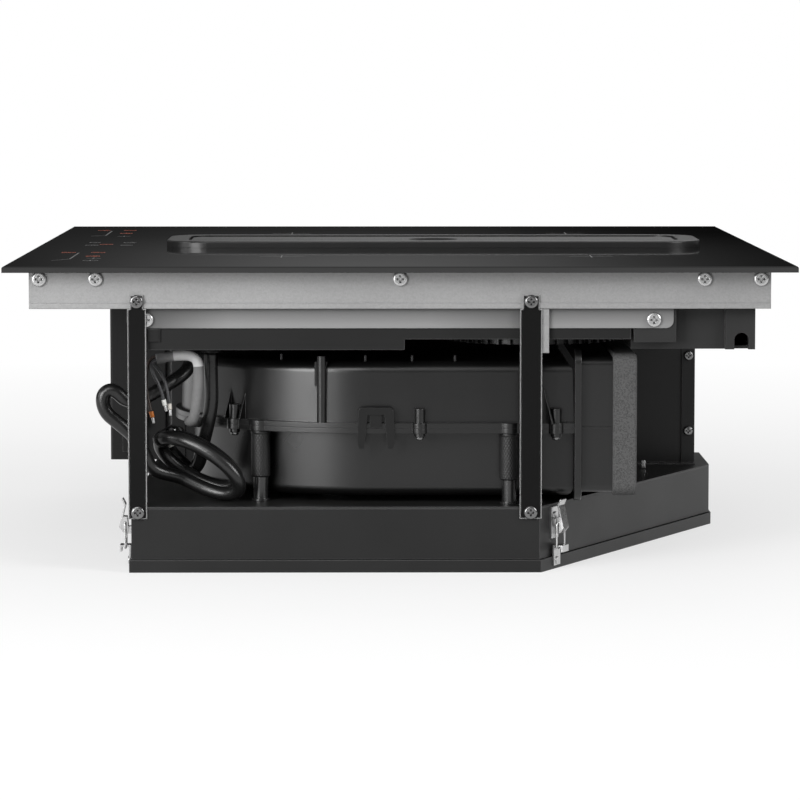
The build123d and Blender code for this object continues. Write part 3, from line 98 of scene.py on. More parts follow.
camera = bpy.data.objects.new("camera", bpy.data.cameras.new("camera"))
camera.data.lens = studio["lens"]
camera.data.clip_start, camera.data.clip_end = studio["clip"]
camera.location = studio["cameraAt"]
camera.rotation_euler = (radians(90 - studio["tiltDown"]), 0, radians(-studio["panRight"]))
scene.collection.objects.link(camera)
scene.camera = camera


class Signal:
    # an output socket; arithmetic on it adds Math nodes, and a number may stand on either side
    def __init__(self, tree, socket):
        self.tree, self.socket = tree, socket

    def mathNode(self, operation, first, second=0.0):
        return addNode(self.tree, "ShaderNodeMath", {"operation": operation}, {0: first, 1: second})

    def __add__(self, other):
        return self.mathNode("ADD", self, other)

    def __sub__(self, other):
        return self.mathNode("SUBTRACT", self, other)

    def __rsub__(self, other):
        return self.mathNode("SUBTRACT", other, self)

    def __mul__(self, other):
        return self.mathNode("MULTIPLY", self, other)

    __radd__, __rmul__ = __add__, __mul__

    def __truediv__(self, other):
        return self.mathNode("DIVIDE", self, other)

    def __pow__(self, other):
        return self.mathNode("POWER", self, other)

    def above(self, limit):
        return self.mathNode("GREATER_THAN", self, limit)

    def atLeast(self, limit):
        return self.mathNode("MAXIMUM", self, limit)

    def atMost(self, limit):
        return self.mathNode("MINIMUM", self, limit)

    def clipped(self):
        return self.atLeast(0.0).atMost(1.0)

    def sine(self):
        return self.mathNode("SINE", self)

    def sibling(self, output):
        # another output of the same node
        return Signal(self.tree, self.socket.node.outputs[output])


def feed(tree, node, values):
    # each value goes to the node's socket of that name or number, as a link or as a constant
    for key, value in values.items():
        if isinstance(value, Signal):
            tree.links.new(value.socket, node.inputs[key])
        else:
            node.inputs[key].default_value = value


def addNode(tree, kind, settings=None, inputs=None, output=0):
    # settings come first, because they decide which sockets the node has
    node = tree.nodes.new(kind)
    for key, value in (settings or {}).items():
        setattr(node, key, value)
    feed(tree, node, inputs or {})
    return Signal(tree, node.outputs[output])


def tone(*shade):
    # 8-bit display values, three or one for all, to linear light by the sRGB curve
    values = np.array(shade * 3 if len(shade) == 1 else shade) / 255
    linear = np.where(values <= 0.04045, values / 12.92, ((values + 0.055) / 1.055) ** 2.4)
    return (*[float(v) for v in linear], 1.0)


def objectSpot(tree, size=1.0, stretch=(1, 1, 1)):
    # the place on the object, where one unit is `size` metres over the stretch of that axis
    spot = addNode(tree, "ShaderNodeTexCoord", output=3)
    return addNode(tree, "ShaderNodeMapping", {}, {"Vector": spot, "Scale": tuple(s / size for s in stretch)})


def grain(tree, size, detail=2.0, stretch=(1, 1, 1)):
    # smooth noise whose features are about `size` metres across
    inputs = {"Vector": objectSpot(tree, size, stretch), "Scale": 1.0, "Detail": detail, "Roughness": 0.5}
    return addNode(tree, "ShaderNodeTexNoise", {}, inputs)


def cells(tree, size, output="Distance", stretch=(1, 1, 1)):
    # cells about `size` metres across: the distance from each one's middle, or one colour a cell
    inputs = {"Vector": objectSpot(tree, size, stretch), "Scale": 1.0}
    return addNode(tree, "ShaderNodeTexVoronoi", {"feature": "F1"}, inputs).sibling(output)


def blendTones(tree, amount, low, high):
    # low where the amount is 0, high where it is 1
    shades = {"Factor": amount, "A": low, "B": high}
    return addNode(tree, "ShaderNodeMix", {"data_type": "RGBA"}, shades, output=2)


def bumpOf(tree, height, depth, strength=1.0, onto=None):
    # a height of 1 stands `depth` metres out, on top of the normal `onto` if there is one
    inputs = {"Height": height, "Distance": depth, "Strength": strength}
    if onto is not None:
        inputs["Normal"] = onto
    return addNode(tree, "ShaderNodeBump", {}, inputs)


def softEdge(tree, radius):
    # the normal that an edge would have if it were rounded by the radius
    return addNode(tree, "ShaderNodeBevel", {"samples": 4}, {"Radius": radius})


def edgeMask(tree, radius, sharp=6.0):
    # how far the rounded normal departs from the true one: 0 on a flat, 1 on an edge
    rounded = softEdge(tree, radius)
    true = addNode(tree, "ShaderNodeNewGeometry", output=1)
    dot = addNode(tree, "ShaderNodeVectorMath", {"operation": "DOT_PRODUCT"}, {0: rounded, 1: true}, output=1)
    return ((1 - dot) * sharp).clipped()


def newFinish(name, recipe):
    # recipe(tree) gives the shader's sockets, as numbers or as signals
    finish = bpy.data.materials.new(name)
    finish.use_nodes = True
    tree = finish.node_tree
    feed(tree, tree.nodes["Principled BSDF"], recipe(tree))
    return finish


def makeSky():
    # white to the camera; to other rays a grey sky that brightens with height, and behind the
    # object a low patch of light, a bell curve sideways, which the black glass shows
    world = bpy.data.worlds.new("studioSky")
    scene.world = world
    world.use_nodes = True
    sky = world.node_tree
    direction = addNode(sky, "ShaderNodeTexCoord", output=0)
    sideways = addNode(sky, "ShaderNodeSeparateXYZ", {}, {0: direction})
    behind, upward = sideways.sibling(1).above(0), sideways.sibling(2)
    riseFrom, riseOver = studio["glowRise"]
    base, baseFall = studio["glowBase"]
    aboveStart = upward - studio["skyStart"]
    risen = (aboveStart / (1 - studio["skyStart"])).clipped() ** studio["skyCurve"]
    plainSky = studio["skyLow"] + (studio["skyHigh"] - studio["skyLow"]) * risen
    offAxis = sideways / studio["glowWide"]
    patch = studio["glowPeak"] * sideways.mathNode("EXPONENT", 0 - offAxis * offAxis)
    rise = ((upward - riseFrom) / riseOver).clipped()
    under = (base - baseFall * sideways).clipped().atMost(studio["glowBaseMost"])
    low = (under * (1 - rise) + patch * rise) * behind
    lowShare = (1 - aboveStart * studio["glowFall"]).clipped() * (1 - risen) * behind
    level = (plainSky + (low - studio["skyLow"]) * lowShare).atLeast(0.0)
    seen = addNode(sky, "ShaderNodeLightPath").sibling("Is Camera Ray")
    feed(sky, sky.nodes["Background"], {"Strength": level * (1 - seen) + seen, "Color": (1, 1, 1, 1)})


makeSky()
for name, place, size, watts in studio["lamps"]:
    lamp = bpy.data.objects.new(name, bpy.data.lights.new(name, "AREA"))
    lamp.data.size = size
    lamp.data.energy = watts
    lamp.location = place
    way = Vector(studio["lookAt"]) - Vector(place)
    lamp.rotation_euler = way.to_track_quat("-Z", "Y").to_euler()
    scene.collection.objects.link(lamp)


def plainRays(tree):
    # 1 for the camera's rays and for those that metal and glass mirror or let through, else 0
    rays = addNode(tree, "ShaderNodeLightPath")
    seen = rays.sibling("Is Camera Ray").atLeast(rays.sibling("Is Glossy Ray"))
    return seen.atLeast(rays.sibling("Is Transmission Ray"))


def floorRecipe(tree):
    # pale paper with faint clouds, which throws back less soft light than it shows
    bounced, plain, cloudy = ((level,) * 3 + (1,) for level in (
        studio["floorBounced"], studio["floorTone"], studio["floorTone"] + studio["floorCloud"],
    ))
    pale = blendTones(tree, grain(tree, size=0.8, detail=3.0), plain, cloudy)
    return {
        "Base Color": blendTones(tree, plainRays(tree), bounced, pale),
        "Roughness": 0.9,
        "Specular IOR Level": 0.1,
    }


def meshPiece(name, points, faces, finish, smooth=True, uv=None):
    # an object at the origin; smooth is one flag or one for each face, uv one pair for each point
    mesh = bpy.data.meshes.new(name)
    faces = faces.tolist() if hasattr(faces, "tolist") else faces
    mesh.from_pydata(np.asarray(points).reshape(-1, 3).tolist(), [], faces)
    mesh.polygons.foreach_set("use_smooth", np.full(len(mesh.polygons), smooth))
    if uv is not None:
        layer = mesh.uv_layers.new(name="lay")
        corners = np.zeros(len(mesh.loops), int)
        mesh.loops.foreach_get("vertex_index", corners)
        layer.uv.foreach_set("vector", np.asarray(uv).reshape(-1, 2)[corners].ravel())
    mesh.validate()
    piece = bpy.data.objects.new(name, mesh)
    piece.data.materials.append(finish)
    scene.collection.objects.link(piece)
    return piece


def faceOutwards(mesh, join=0.0):
    # points nearer than `join` metres become one, and every face is turned to look outwards
    work = bmesh.new()
    work.from_mesh(mesh)
    if join:
        bmesh.ops.remove_doubles(work, verts=work.verts, dist=join)
    bmesh.ops.recalc_face_normals(work, faces=work.faces)
    work.to_mesh(mesh)
    work.free()


def fadeFloor(finish):
    # white share = start + (1 - start) * distance from near to far, so that no horizon shows
    tree = finish.node_tree
    spot = addNode(tree, "ShaderNodeTexCoord", output=3)
    away = addNode(tree, "ShaderNodeVectorMath", {"operation": "LENGTH"}, {0: spot}, output=1)
    near, far = studio["floorFade"]
    start = studio["floorWhite"]
    factor = (start + (1 - start) * ((away - near) / (far - near)).clipped()) * plainRays(tree)
    white = addNode(tree, "ShaderNodeEmission", {}, {"Color": (1, 1, 1, 1), "Strength": 1.0})
    lit = Signal(tree, tree.nodes["Principled BSDF"].outputs[0])
    mixed = addNode(tree, "ShaderNodeMixShader", {}, {0: factor, 1: lit, 2: white})
    tree.links.new(mixed.socket, tree.nodes["Material Output"].inputs["Surface"])


floorFinish = newFinish("studioFloor", floorRecipe)
fadeFloor(floorFinish)
reach = studio["floorReach"]
floorPoints = [(-reach, -reach, 0), (reach, -reach, 0), (reach, reach, 0), (-reach, reach, 0)]
floor = meshPiece("floor", floorPoints, [(0, 1, 2, 3)], floorFinish, False)
floor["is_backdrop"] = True
print("stage ready")


def routePath(points, fine=16):
    # the centreline, in metres, of a NURBS spline of order 3 along its control points' polygon
    curve = bpy.data.curves.new("route", "CURVE")
    curve.dimensions = "3D"
    curve.resolution_u = fine
    spline = curve.splines.new("NURBS")
    spline.points.add(len(points) - 1)
    spline.points.foreach_set("co", np.c_[np.asarray(points) * mm, np.ones(len(points))].ravel())
    spline.order_u = 3
    spline.use_endpoint_u = True
    holder = bpy.data.objects.new("route", curve)
    scene.collection.objects.link(holder)
    bpy.context.view_layer.update()
    mesh = bpy.data.meshes.new_from_object(holder.evaluated_get(bpy.context.evaluated_depsgraph_get()))
    path = np.zeros(len(mesh.vertices) * 3)
    mesh.vertices.foreach_get("co", path)
    bpy.data.objects.remove(holder)
    bpy.data.meshes.remove(mesh)
    return path.reshape(-1, 3)


def alongPath(path):
    # headings, and two cross directions that turn with the path and never twist about it
    heading = np.gradient(path, axis=0)
    heading /= np.linalg.norm(heading, axis=1)[:, None]
    aside = np.zeros_like(heading)
    offRoute = (0.3, 0.2, 0.93)  # any direction that no route starts in
    start = np.cross(heading[0], offRoute)
    aside[0] = start / np.linalg.norm(start)
    for i in range(1, len(path)):
        carried = aside[i - 1] - heading[i] * (aside[i - 1] @ heading[i])
        aside[i] = carried / np.linalg.norm(carried)
    run = np.r_[0, np.cumsum(np.linalg.norm(np.diff(path, axis=0), axis=1))]
    return heading, aside, np.cross(heading, aside), run


def ringFaces(rows, around, endless=False):
    # quads between neighbouring rings of a tube; an endless tube's last ring meets its first
    row, col = np.meshgrid(np.arange(rows if endless else rows - 1), np.arange(around), indexing="ij")
    here, there, nextCol = row * around, (row + 1) % rows * around, (col + 1) % around
    return np.stack([here + col, here + nextCol, there + nextCol, there + col], -1).reshape(-1, 4)


def cappedPiece(name, rings, finish, uv=None):
    # rings of points, smooth between one and the next, with a flat face over the first and the last
    rows, around = rings.shape[:2]
    total = rows * around
    faces = ringFaces(rows, around).tolist()
    smooth = [True] * len(faces) + [False] * 2
    faces += [list(range(around - 1, -1, -1)), list(range(total - around, total))]
    return meshPiece(name, rings, faces, finish, smooth, uv)


def tubePiece(name, path, radius, finish, around=24):
    # tube(s, t) = path(s) + radius(s) (cos t aside + sin t up), with a smaller flat cap at each end
    capShare = 0.86
    heading, aside, up, run = alongPath(path)
    radii = np.broadcast_to(np.asarray(radius, float), (len(path),))
    angle = np.linspace(0, 2 * np.pi, around, endpoint=False)
    across, upwards = np.cos(angle)[None, :, None], np.sin(angle)[None, :, None]
    circle = across * aside[:, None] + upwards * up[:, None]
    rings = path[:, None] + circle * radii[:, None, None]
    firstCap = path[0] + circle[0] * radii[0] * capShare
    lastCap = path[-1] + circle[-1] * radii[-1] * capShare
    lay = np.r_[run[0], run, run[-1]]
    uv = np.stack([np.repeat(lay, around), np.tile(angle / (2 * np.pi), len(path) + 2)], -1)
    return cappedPiece(name, np.concatenate([firstCap[None], rings, lastCap[None]]), finish, uv)


def pathLength(path):
    # the sum of the steps from point to point
    return float(np.linalg.norm(np.diff(path, axis=0), axis=1).sum())


supply = {
    "radius": 4.6,
    "sheathTone": 18,
    "down": [
        (-126, -246, 143), (-126, -246, 126), (-125.5, -244, 110), (-128.5, -240, 94),
        (-132.5, -233.5, 79), (-135, -226.5, 66), (-141, -222.5, 60.5),
    ],
    "back": [
        (-165.5, -252, 64), (-170.5, -256, 77), (-177, -260, 88.5), (-187, -262, 97), (-196, -263, 104.5),
        (-198, -263, 116), (-190.5, -262.5, 120.5), (-181, -261, 110.5), (-169, -257, 113.5),
        (-154.5, -252, 122), (-143, -243.5, 129), (-140, -239.5, 136), (-140, -239.5, 143),
    ],
    "loopCentre": (-134.8, -258.0, 67.4),
    "loopLong": (28.0, -4.0, -16.4),
    "loopShort": (7.0, -12.0, 10.6),
    "loopRise": (0.8, 13.4, 1.2),
    "loopFrom": -125.0,  # degrees
    "loopTo": -806.0,
    "loopShrink": 0.10,
    "loopPoints": 33,
    "leadIn": 6,  # straight on before the loops
    "leadOut": 8,
}


def loopPoint(angle):
    # an oval whose centre drifts by the rise, and whose size shrinks, with each turn still to come
    behind = (np.asarray(angle) - supply["loopTo"]) / 360
    turn = np.radians(angle)
    size = np.expand_dims(1 - supply["loopShrink"] * behind, -1)
    along = np.multiply.outer(np.cos(turn), supply["loopLong"])
    oval = along + np.multiply.outer(np.sin(turn), supply["loopShort"])
    return supply["loopCentre"] + np.multiply.outer(behind, supply["loopRise"]) + oval * size


def unitWay(angle):
    # the loop's heading, from a point half a degree before to one half a degree after
    way = loopPoint(angle - 0.5) - loopPoint(angle + 0.5)
    return way / np.linalg.norm(way)


loopAngles = np.linspace(supply["loopFrom"], supply["loopTo"], supply["loopPoints"])
loops = loopPoint(loopAngles)
supplyRoute = np.concatenate([
    supply["down"],
    [loops[0] - unitWay(supply["loopFrom"]) * supply["leadIn"]],
    loops,
    [loops[-1] + unitWay(supply["loopTo"]) * supply["leadOut"]],
    supply["back"],
])


def sheathRecipe(tree):
    # drawn PVC: a faint lengthwise drag and a fine orange-peel skin
    spot = addNode(tree, "ShaderNodeTexCoord", output=2)
    drag = addNode(tree, "ShaderNodeMapping", {}, {"Vector": spot, "Scale": (40, 30, 1)})
    streak = addNode(tree, "ShaderNodeTexNoise", {}, {"Vector": drag, "Scale": 1.0, "Detail": 2.0})
    peel = grain(tree, size=0.0011)
    dust = grain(tree, size=0.02, detail=3.0)
    dark, light = tone(supply["sheathTone"] - 8), tone(supply["sheathTone"] + 10)
    return {
        "Base Color": blendTones(tree, (streak * 0.6 + dust * 0.5).clipped(), dark, light),
        "Roughness": 0.24 + 0.1 * peel,
        "Normal": bumpOf(tree, peel * 0.6 + streak * 0.4, depth=0.00015, strength=0.35),
    }


sheathFinish = newFinish("cableSheath", sheathRecipe)
supplyPath = routePath(supplyRoute)
supplyCable = tubePiece("supplyCable", supplyPath, supply["radius"] * mm, sheathFinish, 28)
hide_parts("supply_cable", "cable_loops")
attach(supplyCable, "hob")
print("supply cable", round(pathLength(supplyPath), 3), "m")

harness = {
    "sleeveRadius": 3.4,
    "sleeveRoute": [
        (-127.7, -226.7, 94.4), (-134.5, -232.3, 94.4), (-142, -243, 97), (-138.5, -257, 97),
        (-136, -261, 104), (-134.5, -262, 116), (-133.4, -262, 128), (-134, -262, 141.5),
        (-148, -261.5, 142.5), (-161.5, -261, 139.5),
    ],
    "strands": (620, 12),  # braid strands to the metre along it, and round it
    "wrap": (0.074, 0.0945),  # where the pale tape is, in metres along it
    "wireRadius": 1.1,
    "wireLeadIn": 4,
    "ferruleRadius": 1.5,
    "ferruleLong": 8.0,
    # name, start beside the sleeve's middle (along Y, upwards), route, jacket tone, collar tone
    "wires": [
        (
            "wireBrown", (0.3, -1.7), [(-168, -264, 132), (-168.5, -266, 119), (-165, -266, 105)],
            (46, 34, 28), (196, 112, 40),
        ),
        (
            "wireWhite", (-1.7, 0.6), [(-164, -268, 131), (-158.5, -269, 121.5), (-156.5, -268, 113)],
            (60, 60, 62), (226, 226, 222),
        ),
        (
            "wireGrey", (1.7, 1.0), [(-159, -259, 131), (-154.5, -263, 122), (-153, -264, 110)],
            (52, 52, 54), (208, 204, 196),
        ),
    ],
}


def braidRecipe(tree):
    # two families of slanted strands over and under each other, on the tube's own lay
    spot = addNode(tree, "ShaderNodeTexCoord", output=2)
    along = addNode(tree, "ShaderNodeSeparateXYZ", {}, {0: spot})
    around = along.sibling(1)
    lengthwise, crosswise = harness["strands"]
    wrapFrom, wrapTo = harness["wrap"]
    first = ((along * lengthwise + around * crosswise) * (2 * np.pi)).sine()
    second = ((along * lengthwise - around * crosswise) * (2 * np.pi)).sine()
    weave = (first * second * 0.5 + 0.5).clipped()
    dust = grain(tree, size=0.012, detail=3.0)
    wrap = along.above(wrapFrom) * (1 - along.above(wrapTo))
    bare = blendTones(tree, (weave * 0.6 + dust * 0.4).clipped(), tone(78), tone(136))
    return {
        "Base Color": blendTones(tree, wrap * (0.7 + 0.3 * weave), bare, tone(206)),
        "Roughness": 0.62 + 0.2 * weave,
        "Normal": bumpOf(tree, weave, depth=0.0003, strength=0.7),
    }


def jacketFinish(name, shade):
    # a thin wire's plain jacket, a little blotchy
    def recipe(tree):
        blotch = grain(tree, size=0.006, detail=3.0)
        dark = tone(*(max(v - 14, 4) for v in shade))
        light = tone(*(min(v + 12, 255) for v in shade))
        return {"Base Color": blendTones(tree, blotch, dark, light), "Roughness": 0.38 + 0.1 * blotch}

    return newFinish(name, recipe)


def tinnedRecipe(tree):
    # tinned copper, dimpled by the crimping pliers
    dimple = grain(tree, size=0.0009)
    return {
        "Base Color": blendTones(tree, dimple, tone(168), tone(212)),
        "Metallic": 1.0,
        "Roughness": 0.3 + 0.2 * dimple,
    }


sleevePath = routePath(harness["sleeveRoute"])
sleeveFinish = newFinish("sleeveBraid", braidRecipe)
sleeve = tubePiece("wireSleeve", sleevePath, harness["sleeveRadius"] * mm, sleeveFinish, 28)
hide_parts("wire_sleeve")
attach(sleeve, "hob")

tip = np.array(harness["sleeveRoute"][-1], float)
sleeveWay = tip - np.array(harness["sleeveRoute"][-2])
sleeveWay /= np.linalg.norm(sleeveWay)
crossY = np.array([0, 1.0, 0]) - sleeveWay * sleeveWay[1]
crossY /= np.linalg.norm(crossY)
crossUp = np.cross(sleeveWay, crossY)
tinned = newFinish("tinnedBarrel", tinnedRecipe)


def lathedAlong(name, base, way, profile, finish, around=20):
    # a turned shape: profile pairs of (distance along the way, radius), closed at both ends
    path = base + np.outer([p[0] for p in profile], way)
    return tubePiece(name, path * mm, np.array([p[1] for p in profile]) * mm, finish, around)


for label, (asideBy, upBy), route, jacket, collar in harness["wires"]:
    root = tip + crossY * asideBy + crossUp * upBy
    path = routePath([root, root + sleeveWay * harness["wireLeadIn"], *route])
    wire = tubePiece(label, path, harness["wireRadius"] * mm, jacketFinish(label + "Jacket", jacket), 14)
    last = np.array(route[-1], float)
    way = last - np.array(route[-2])
    way /= np.linalg.norm(way)
    half, r = harness["ferruleLong"] / 2, harness["ferruleRadius"]
    # distance along the ferrule, radius
    collarShape = [(-0.2, r * 0.8), (0, r * 0.96), (0.4, r), (half - 0.6, r * 0.97), (half - 0.1, r * 0.8)]
    end = 2 * half
    barrelShape = [(half - 0.3, r * 0.6), (half + 0.6, r * 0.65), (end - 0.5, r * 0.63), (end, r * 0.5)]
    collarFinish = jacketFinish(label + "CollarTone", collar)
    collarPiece = lathedAlong(label + "Collar", last, way, collarShape, collarFinish)
    barrelPiece = lathedAlong(label + "Barrel", last, way, barrelShape, tinned)
    for piece in (wire, collarPiece, barrelPiece):
        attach(piece, "hob")
    if label == "wireBrown":
        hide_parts("control_wires")
print("sleeve and wires ready")


def sheetSteelRecipe(shade, spread, shine=0.3, rough=0.42, edge=55, width=0.0009):
    # pre-painted sheet: fine texture, a few soft handling marks, and lighter edges that are partly wear and
    # partly painted highlight
    def recipe(tree):
        fine = grain(tree, 0.0007, 2.0)
        broad = grain(tree, 0.05, 3.0)
        # edges made lighter by the edge mask: partly wear, partly painted highlight
        edgeWearAndHighlight = edgeMask(tree, width, sharp=7.0)
        mix = (broad * 0.7 + fine * 0.3).clipped()
        body = blendTones(tree, mix, tone(shade - spread), tone(shade + spread))
        return {
            "Base Color": blendTones(tree, edgeWearAndHighlight, body, tone(shade + edge)),
            "Roughness": rough + 0.14 * (broad - 0.5),
            "Specular IOR Level": shine,
            "Normal": bumpOf(tree, fine, 0.00006, 0.35, softEdge(tree, 0.0006)),
        }

    return recipe


def galvanisedRecipe(tree):
    # zinc on steel: small pale and dark crystals, dull where it was handled
    crystal = cells(tree, 0.0011, output="Color")
    fine = grain(tree, 0.0005, 2.0)
    broad = grain(tree, 0.06, 3.0)
    shade = addNode(tree, "ShaderNodeSeparateColor", {}, {0: crystal})
    mix = (shade * 0.25 + fine * 0.4 + broad * 0.35).clipped()
    return {
        "Base Color": blendTones(tree, mix, tone(128), tone(164)),
        "Metallic": 0.45,
        "Roughness": 0.46 + 0.12 * shade,
        "Normal": bumpOf(tree, fine, 0.00004, 0.4, softEdge(tree, 0.0006)),
    }


def mouldedRecipe(shade, rough=0.45, spark=0.0003, depth=0.00005, shine=0.3, edge=36, sharp=3.0):
    # moulded plastic: fine spark-eroded grain, a slightly greasy sheen in broad patches, and lighter edges
    # that are partly wear and partly painted highlight
    def recipe(tree):
        fine = grain(tree, spark * 2.2, 2.0)
        broad = grain(tree, 0.07, 3.0)
        # edges made lighter by the edge mask: partly wear, partly painted highlight
        edgeWearAndHighlight = edgeMask(tree, 0.0008, sharp)
        body = blendTones(tree, broad, tone(shade - 4), tone(shade + 6))
        return {
            "Base Color": blendTones(tree, edgeWearAndHighlight * 0.8, body, tone(shade + edge)),
            "Roughness": rough + 0.16 * (broad - 0.5),
            "Specular IOR Level": shine,
            "Normal": bumpOf(tree, fine, depth, 0.4, softEdge(tree, 0.0007)),
        }

    return recipe


def glassRecipe(tree):
    # black glass with a veil of dust and, where that is thick, a few pale specks
    dust = grain(tree, 0.11, 4.0)
    fleck = cells(tree, 0.0028)
    specks = (1 - fleck * 9).clipped() * dust
    return {
        "Base Color": blendTones(tree, specks, tone(9), tone(34)),
        "Roughness": 0.025 + 0.03 * dust,
        "Coat Weight": 0.3,
        "Coat Roughness": 0.04,
    }


def satinRecipe(shade, rough, metal=1.0, alongY=True):
    # brushed metal: long fine scratches in one direction
    def recipe(tree):
        stretch = (1, 0.02, 1) if alongY else (0.02, 1, 1)
        scratch = grain(tree, 0.0006, 3.0, stretch)
        broad = grain(tree, 0.06, 3.0)
        mix = (scratch * 0.5 + broad * 0.5).clipped()
        return {
            "Base Color": blendTones(tree, mix, tone(shade - 10), tone(shade + 10)),
            "Metallic": metal,
            "Roughness": rough + 0.14 * scratch,
            "Normal": bumpOf(tree, scratch, 0.00004, 0.3, softEdge(tree, 0.0004)),
        }

    return recipe


# painted shadow on the side strips: under the frame, and beside each post
stripShade = {
    "top": (0.1635, 95, 0.62),  # height where the frame's shade begins, how fast it comes, how deep it is
    "left": (-0.19, 13),  # X where the left post's shade ends, and how fast it clears
    "right": (0.02, 11, 0.6),  # the same as the top, along X, towards the right post
    "rightEnd": 0.09,  # X of the right post, past which the strip is clear again
}


def stripRecipe(tree):
    # rolled zinc with fine grain, and painted shadow under the frame and towards each post
    along = addNode(tree, "ShaderNodeSeparateXYZ", {}, {0: addNode(tree, "ShaderNodeTexCoord", output=3)})
    topAt, topRate, topDeep = stripShade["top"]
    leftAt, leftRate = stripShade["left"]
    rightAt, rightRate, rightDeep = stripShade["right"]
    scratch = grain(tree, 0.0006, 3.0, (0.05, 1, 1))
    fine = grain(tree, 0.0005, 2.0)
    # painted shadow from the frame above: darker towards the top of the strip
    clear = 1 - ((along.sibling(2) - topAt) * topRate).clipped() * topDeep
    # painted shadow beside the left post and, up to its end, beside the right post
    leftPostShadow = ((along - leftAt) * leftRate).clipped()
    beforeEnd = 1 - (along - stripShade["rightEnd"]).above(0)
    rightPostShadow = 1 - ((along - rightAt) * rightRate).clipped() * beforeEnd * rightDeep
    bright = (clear * leftPostShadow * rightPostShadow * (0.86 + 0.28 * fine)).clipped()
    return {
        "Base Color": blendTones(tree, bright, tone(40), tone(136)),
        "Metallic": 0.5,
        "Roughness": 0.46 + 0.14 * scratch,
        "Normal": bumpOf(tree, fine, 0.00003, 0.3, softEdge(tree, 0.0004)),
    }


def screwRecipe(shade, recessShade, rough):
    # polished head, with painted shade in its cross recess
    def recipe(tree):
        scratch = grain(tree, 0.0004, 2.0)
        # ambient occlusion darkens the recess towards the dark tone: painted shade
        free = addNode(tree, "ShaderNodeAmbientOcclusion", {"samples": 8}, {"Distance": 0.0012}, output=1)
        bright = ((free - 0.45) * 2.6).clipped() * (0.85 + 0.15 * scratch)
        return {
            "Base Color": blendTones(tree, bright, tone(recessShade), tone(shade)),
            "Metallic": 0.9,
            "Roughness": rough + 0.1 * scratch,
            "Normal": softEdge(tree, 0.0005),
        }

    return recipe


def copperLitzRecipe(tree):
    # bunched enamelled strands laid round in rings
    strand = grain(tree, 0.0006, 2.0)
    lay = grain(tree, 0.004, 3.0)
    mix = (strand * 0.6 + lay * 0.4).clipped()
    return {
        "Base Color": blendTones(tree, mix, tone(112, 52, 26), tone(206, 122, 74)),
        "Metallic": 0.85,
        "Roughness": 0.34 + 0.15 * strand,
        "Normal": bumpOf(tree, strand, 0.0002, 0.6),
    }


def boardRecipe(tree):
    # green solder mask over paler tracks
    track = cells(tree, 0.004, stretch=(1, 1, 0.2))
    lines = (1 - (track - 0.35) * 14).clipped()
    return {
        "Base Color": blendTones(tree, lines, tone(18, 66, 44), tone(34, 96, 62)),
        "Roughness": 0.35 + 0.1 * lines,
        "Normal": bumpOf(tree, lines, 0.00005, 0.5),
    }


def meshRecipe(tree):
    # knitted aluminium grease mesh: loops in rows, bright over dark
    spot = objectSpot(tree, stretch=(1890, 1890, 1890))
    across = addNode(tree, "ShaderNodeSeparateXYZ", {}, {0: spot})
    rows = across.sine()
    knit = ((across.sibling(1) + rows * 1.4).sine() * 0.5 + 0.5).clipped()
    return {
        "Base Color": blendTones(tree, knit, tone(70), tone(196)),
        "Metallic": 0.9,
        "Roughness": 0.3 + 0.25 * knit,
        "Normal": bumpOf(tree, knit, 0.0006, 0.8),
    }


def ferriteRecipe(tree):
    # pressed grey powder
    grit = grain(tree, 0.0008, 3.0)
    return {
        "Base Color": blendTones(tree, grit, tone(38), tone(62)),
        "Roughness": 0.6 + 0.2 * grit,
        "Normal": bumpOf(tree, grit, 0.0001, 0.4),
    }


def micaRecipe(tree):
    # pressed flakes, each of its own tan
    shade = addNode(tree, "ShaderNodeSeparateColor", {}, {0: cells(tree, 0.003, output="Color")})
    return {
        "Base Color": blendTones(tree, shade, tone(176, 158, 126), tone(214, 200, 170)),
        "Roughness": 0.4 + 0.2 * shade,
    }


def foamRecipe(tree):
    # cut foam: dark pores between paler walls, on slow lumps
    wall = (cells(tree, 0.0011) * 1.6).clipped()
    lump = grain(tree, 0.006, 3.0)
    return {
        "Base Color": blendTones(tree, (wall * 0.7 + lump * 0.3).clipped(), tone(40), tone(84)),
        "Roughness": 0.85 + 0.1 * lump,
        "Normal": bumpOf(tree, wall * 0.6 + lump * 0.4, 0.0006, 0.8),
    }


def springSteelRecipe(tree):
    # drawn bright steel, streaked along its height, with a slow tint
    draw = grain(tree, 0.0005, 2.0, (1, 1, 0.06))
    tint = grain(tree, 0.008, 2.0)
    return {
        "Base Color": blendTones(tree, (draw * 0.5 + tint * 0.5).clipped(), tone(176), tone(226)),
        "Metallic": 1.0,
        "Roughness": 0.2 + 0.18 * draw,
        "Normal": bumpOf(tree, draw, 0.00003, 0.4, softEdge(tree, 0.0003)),
    }


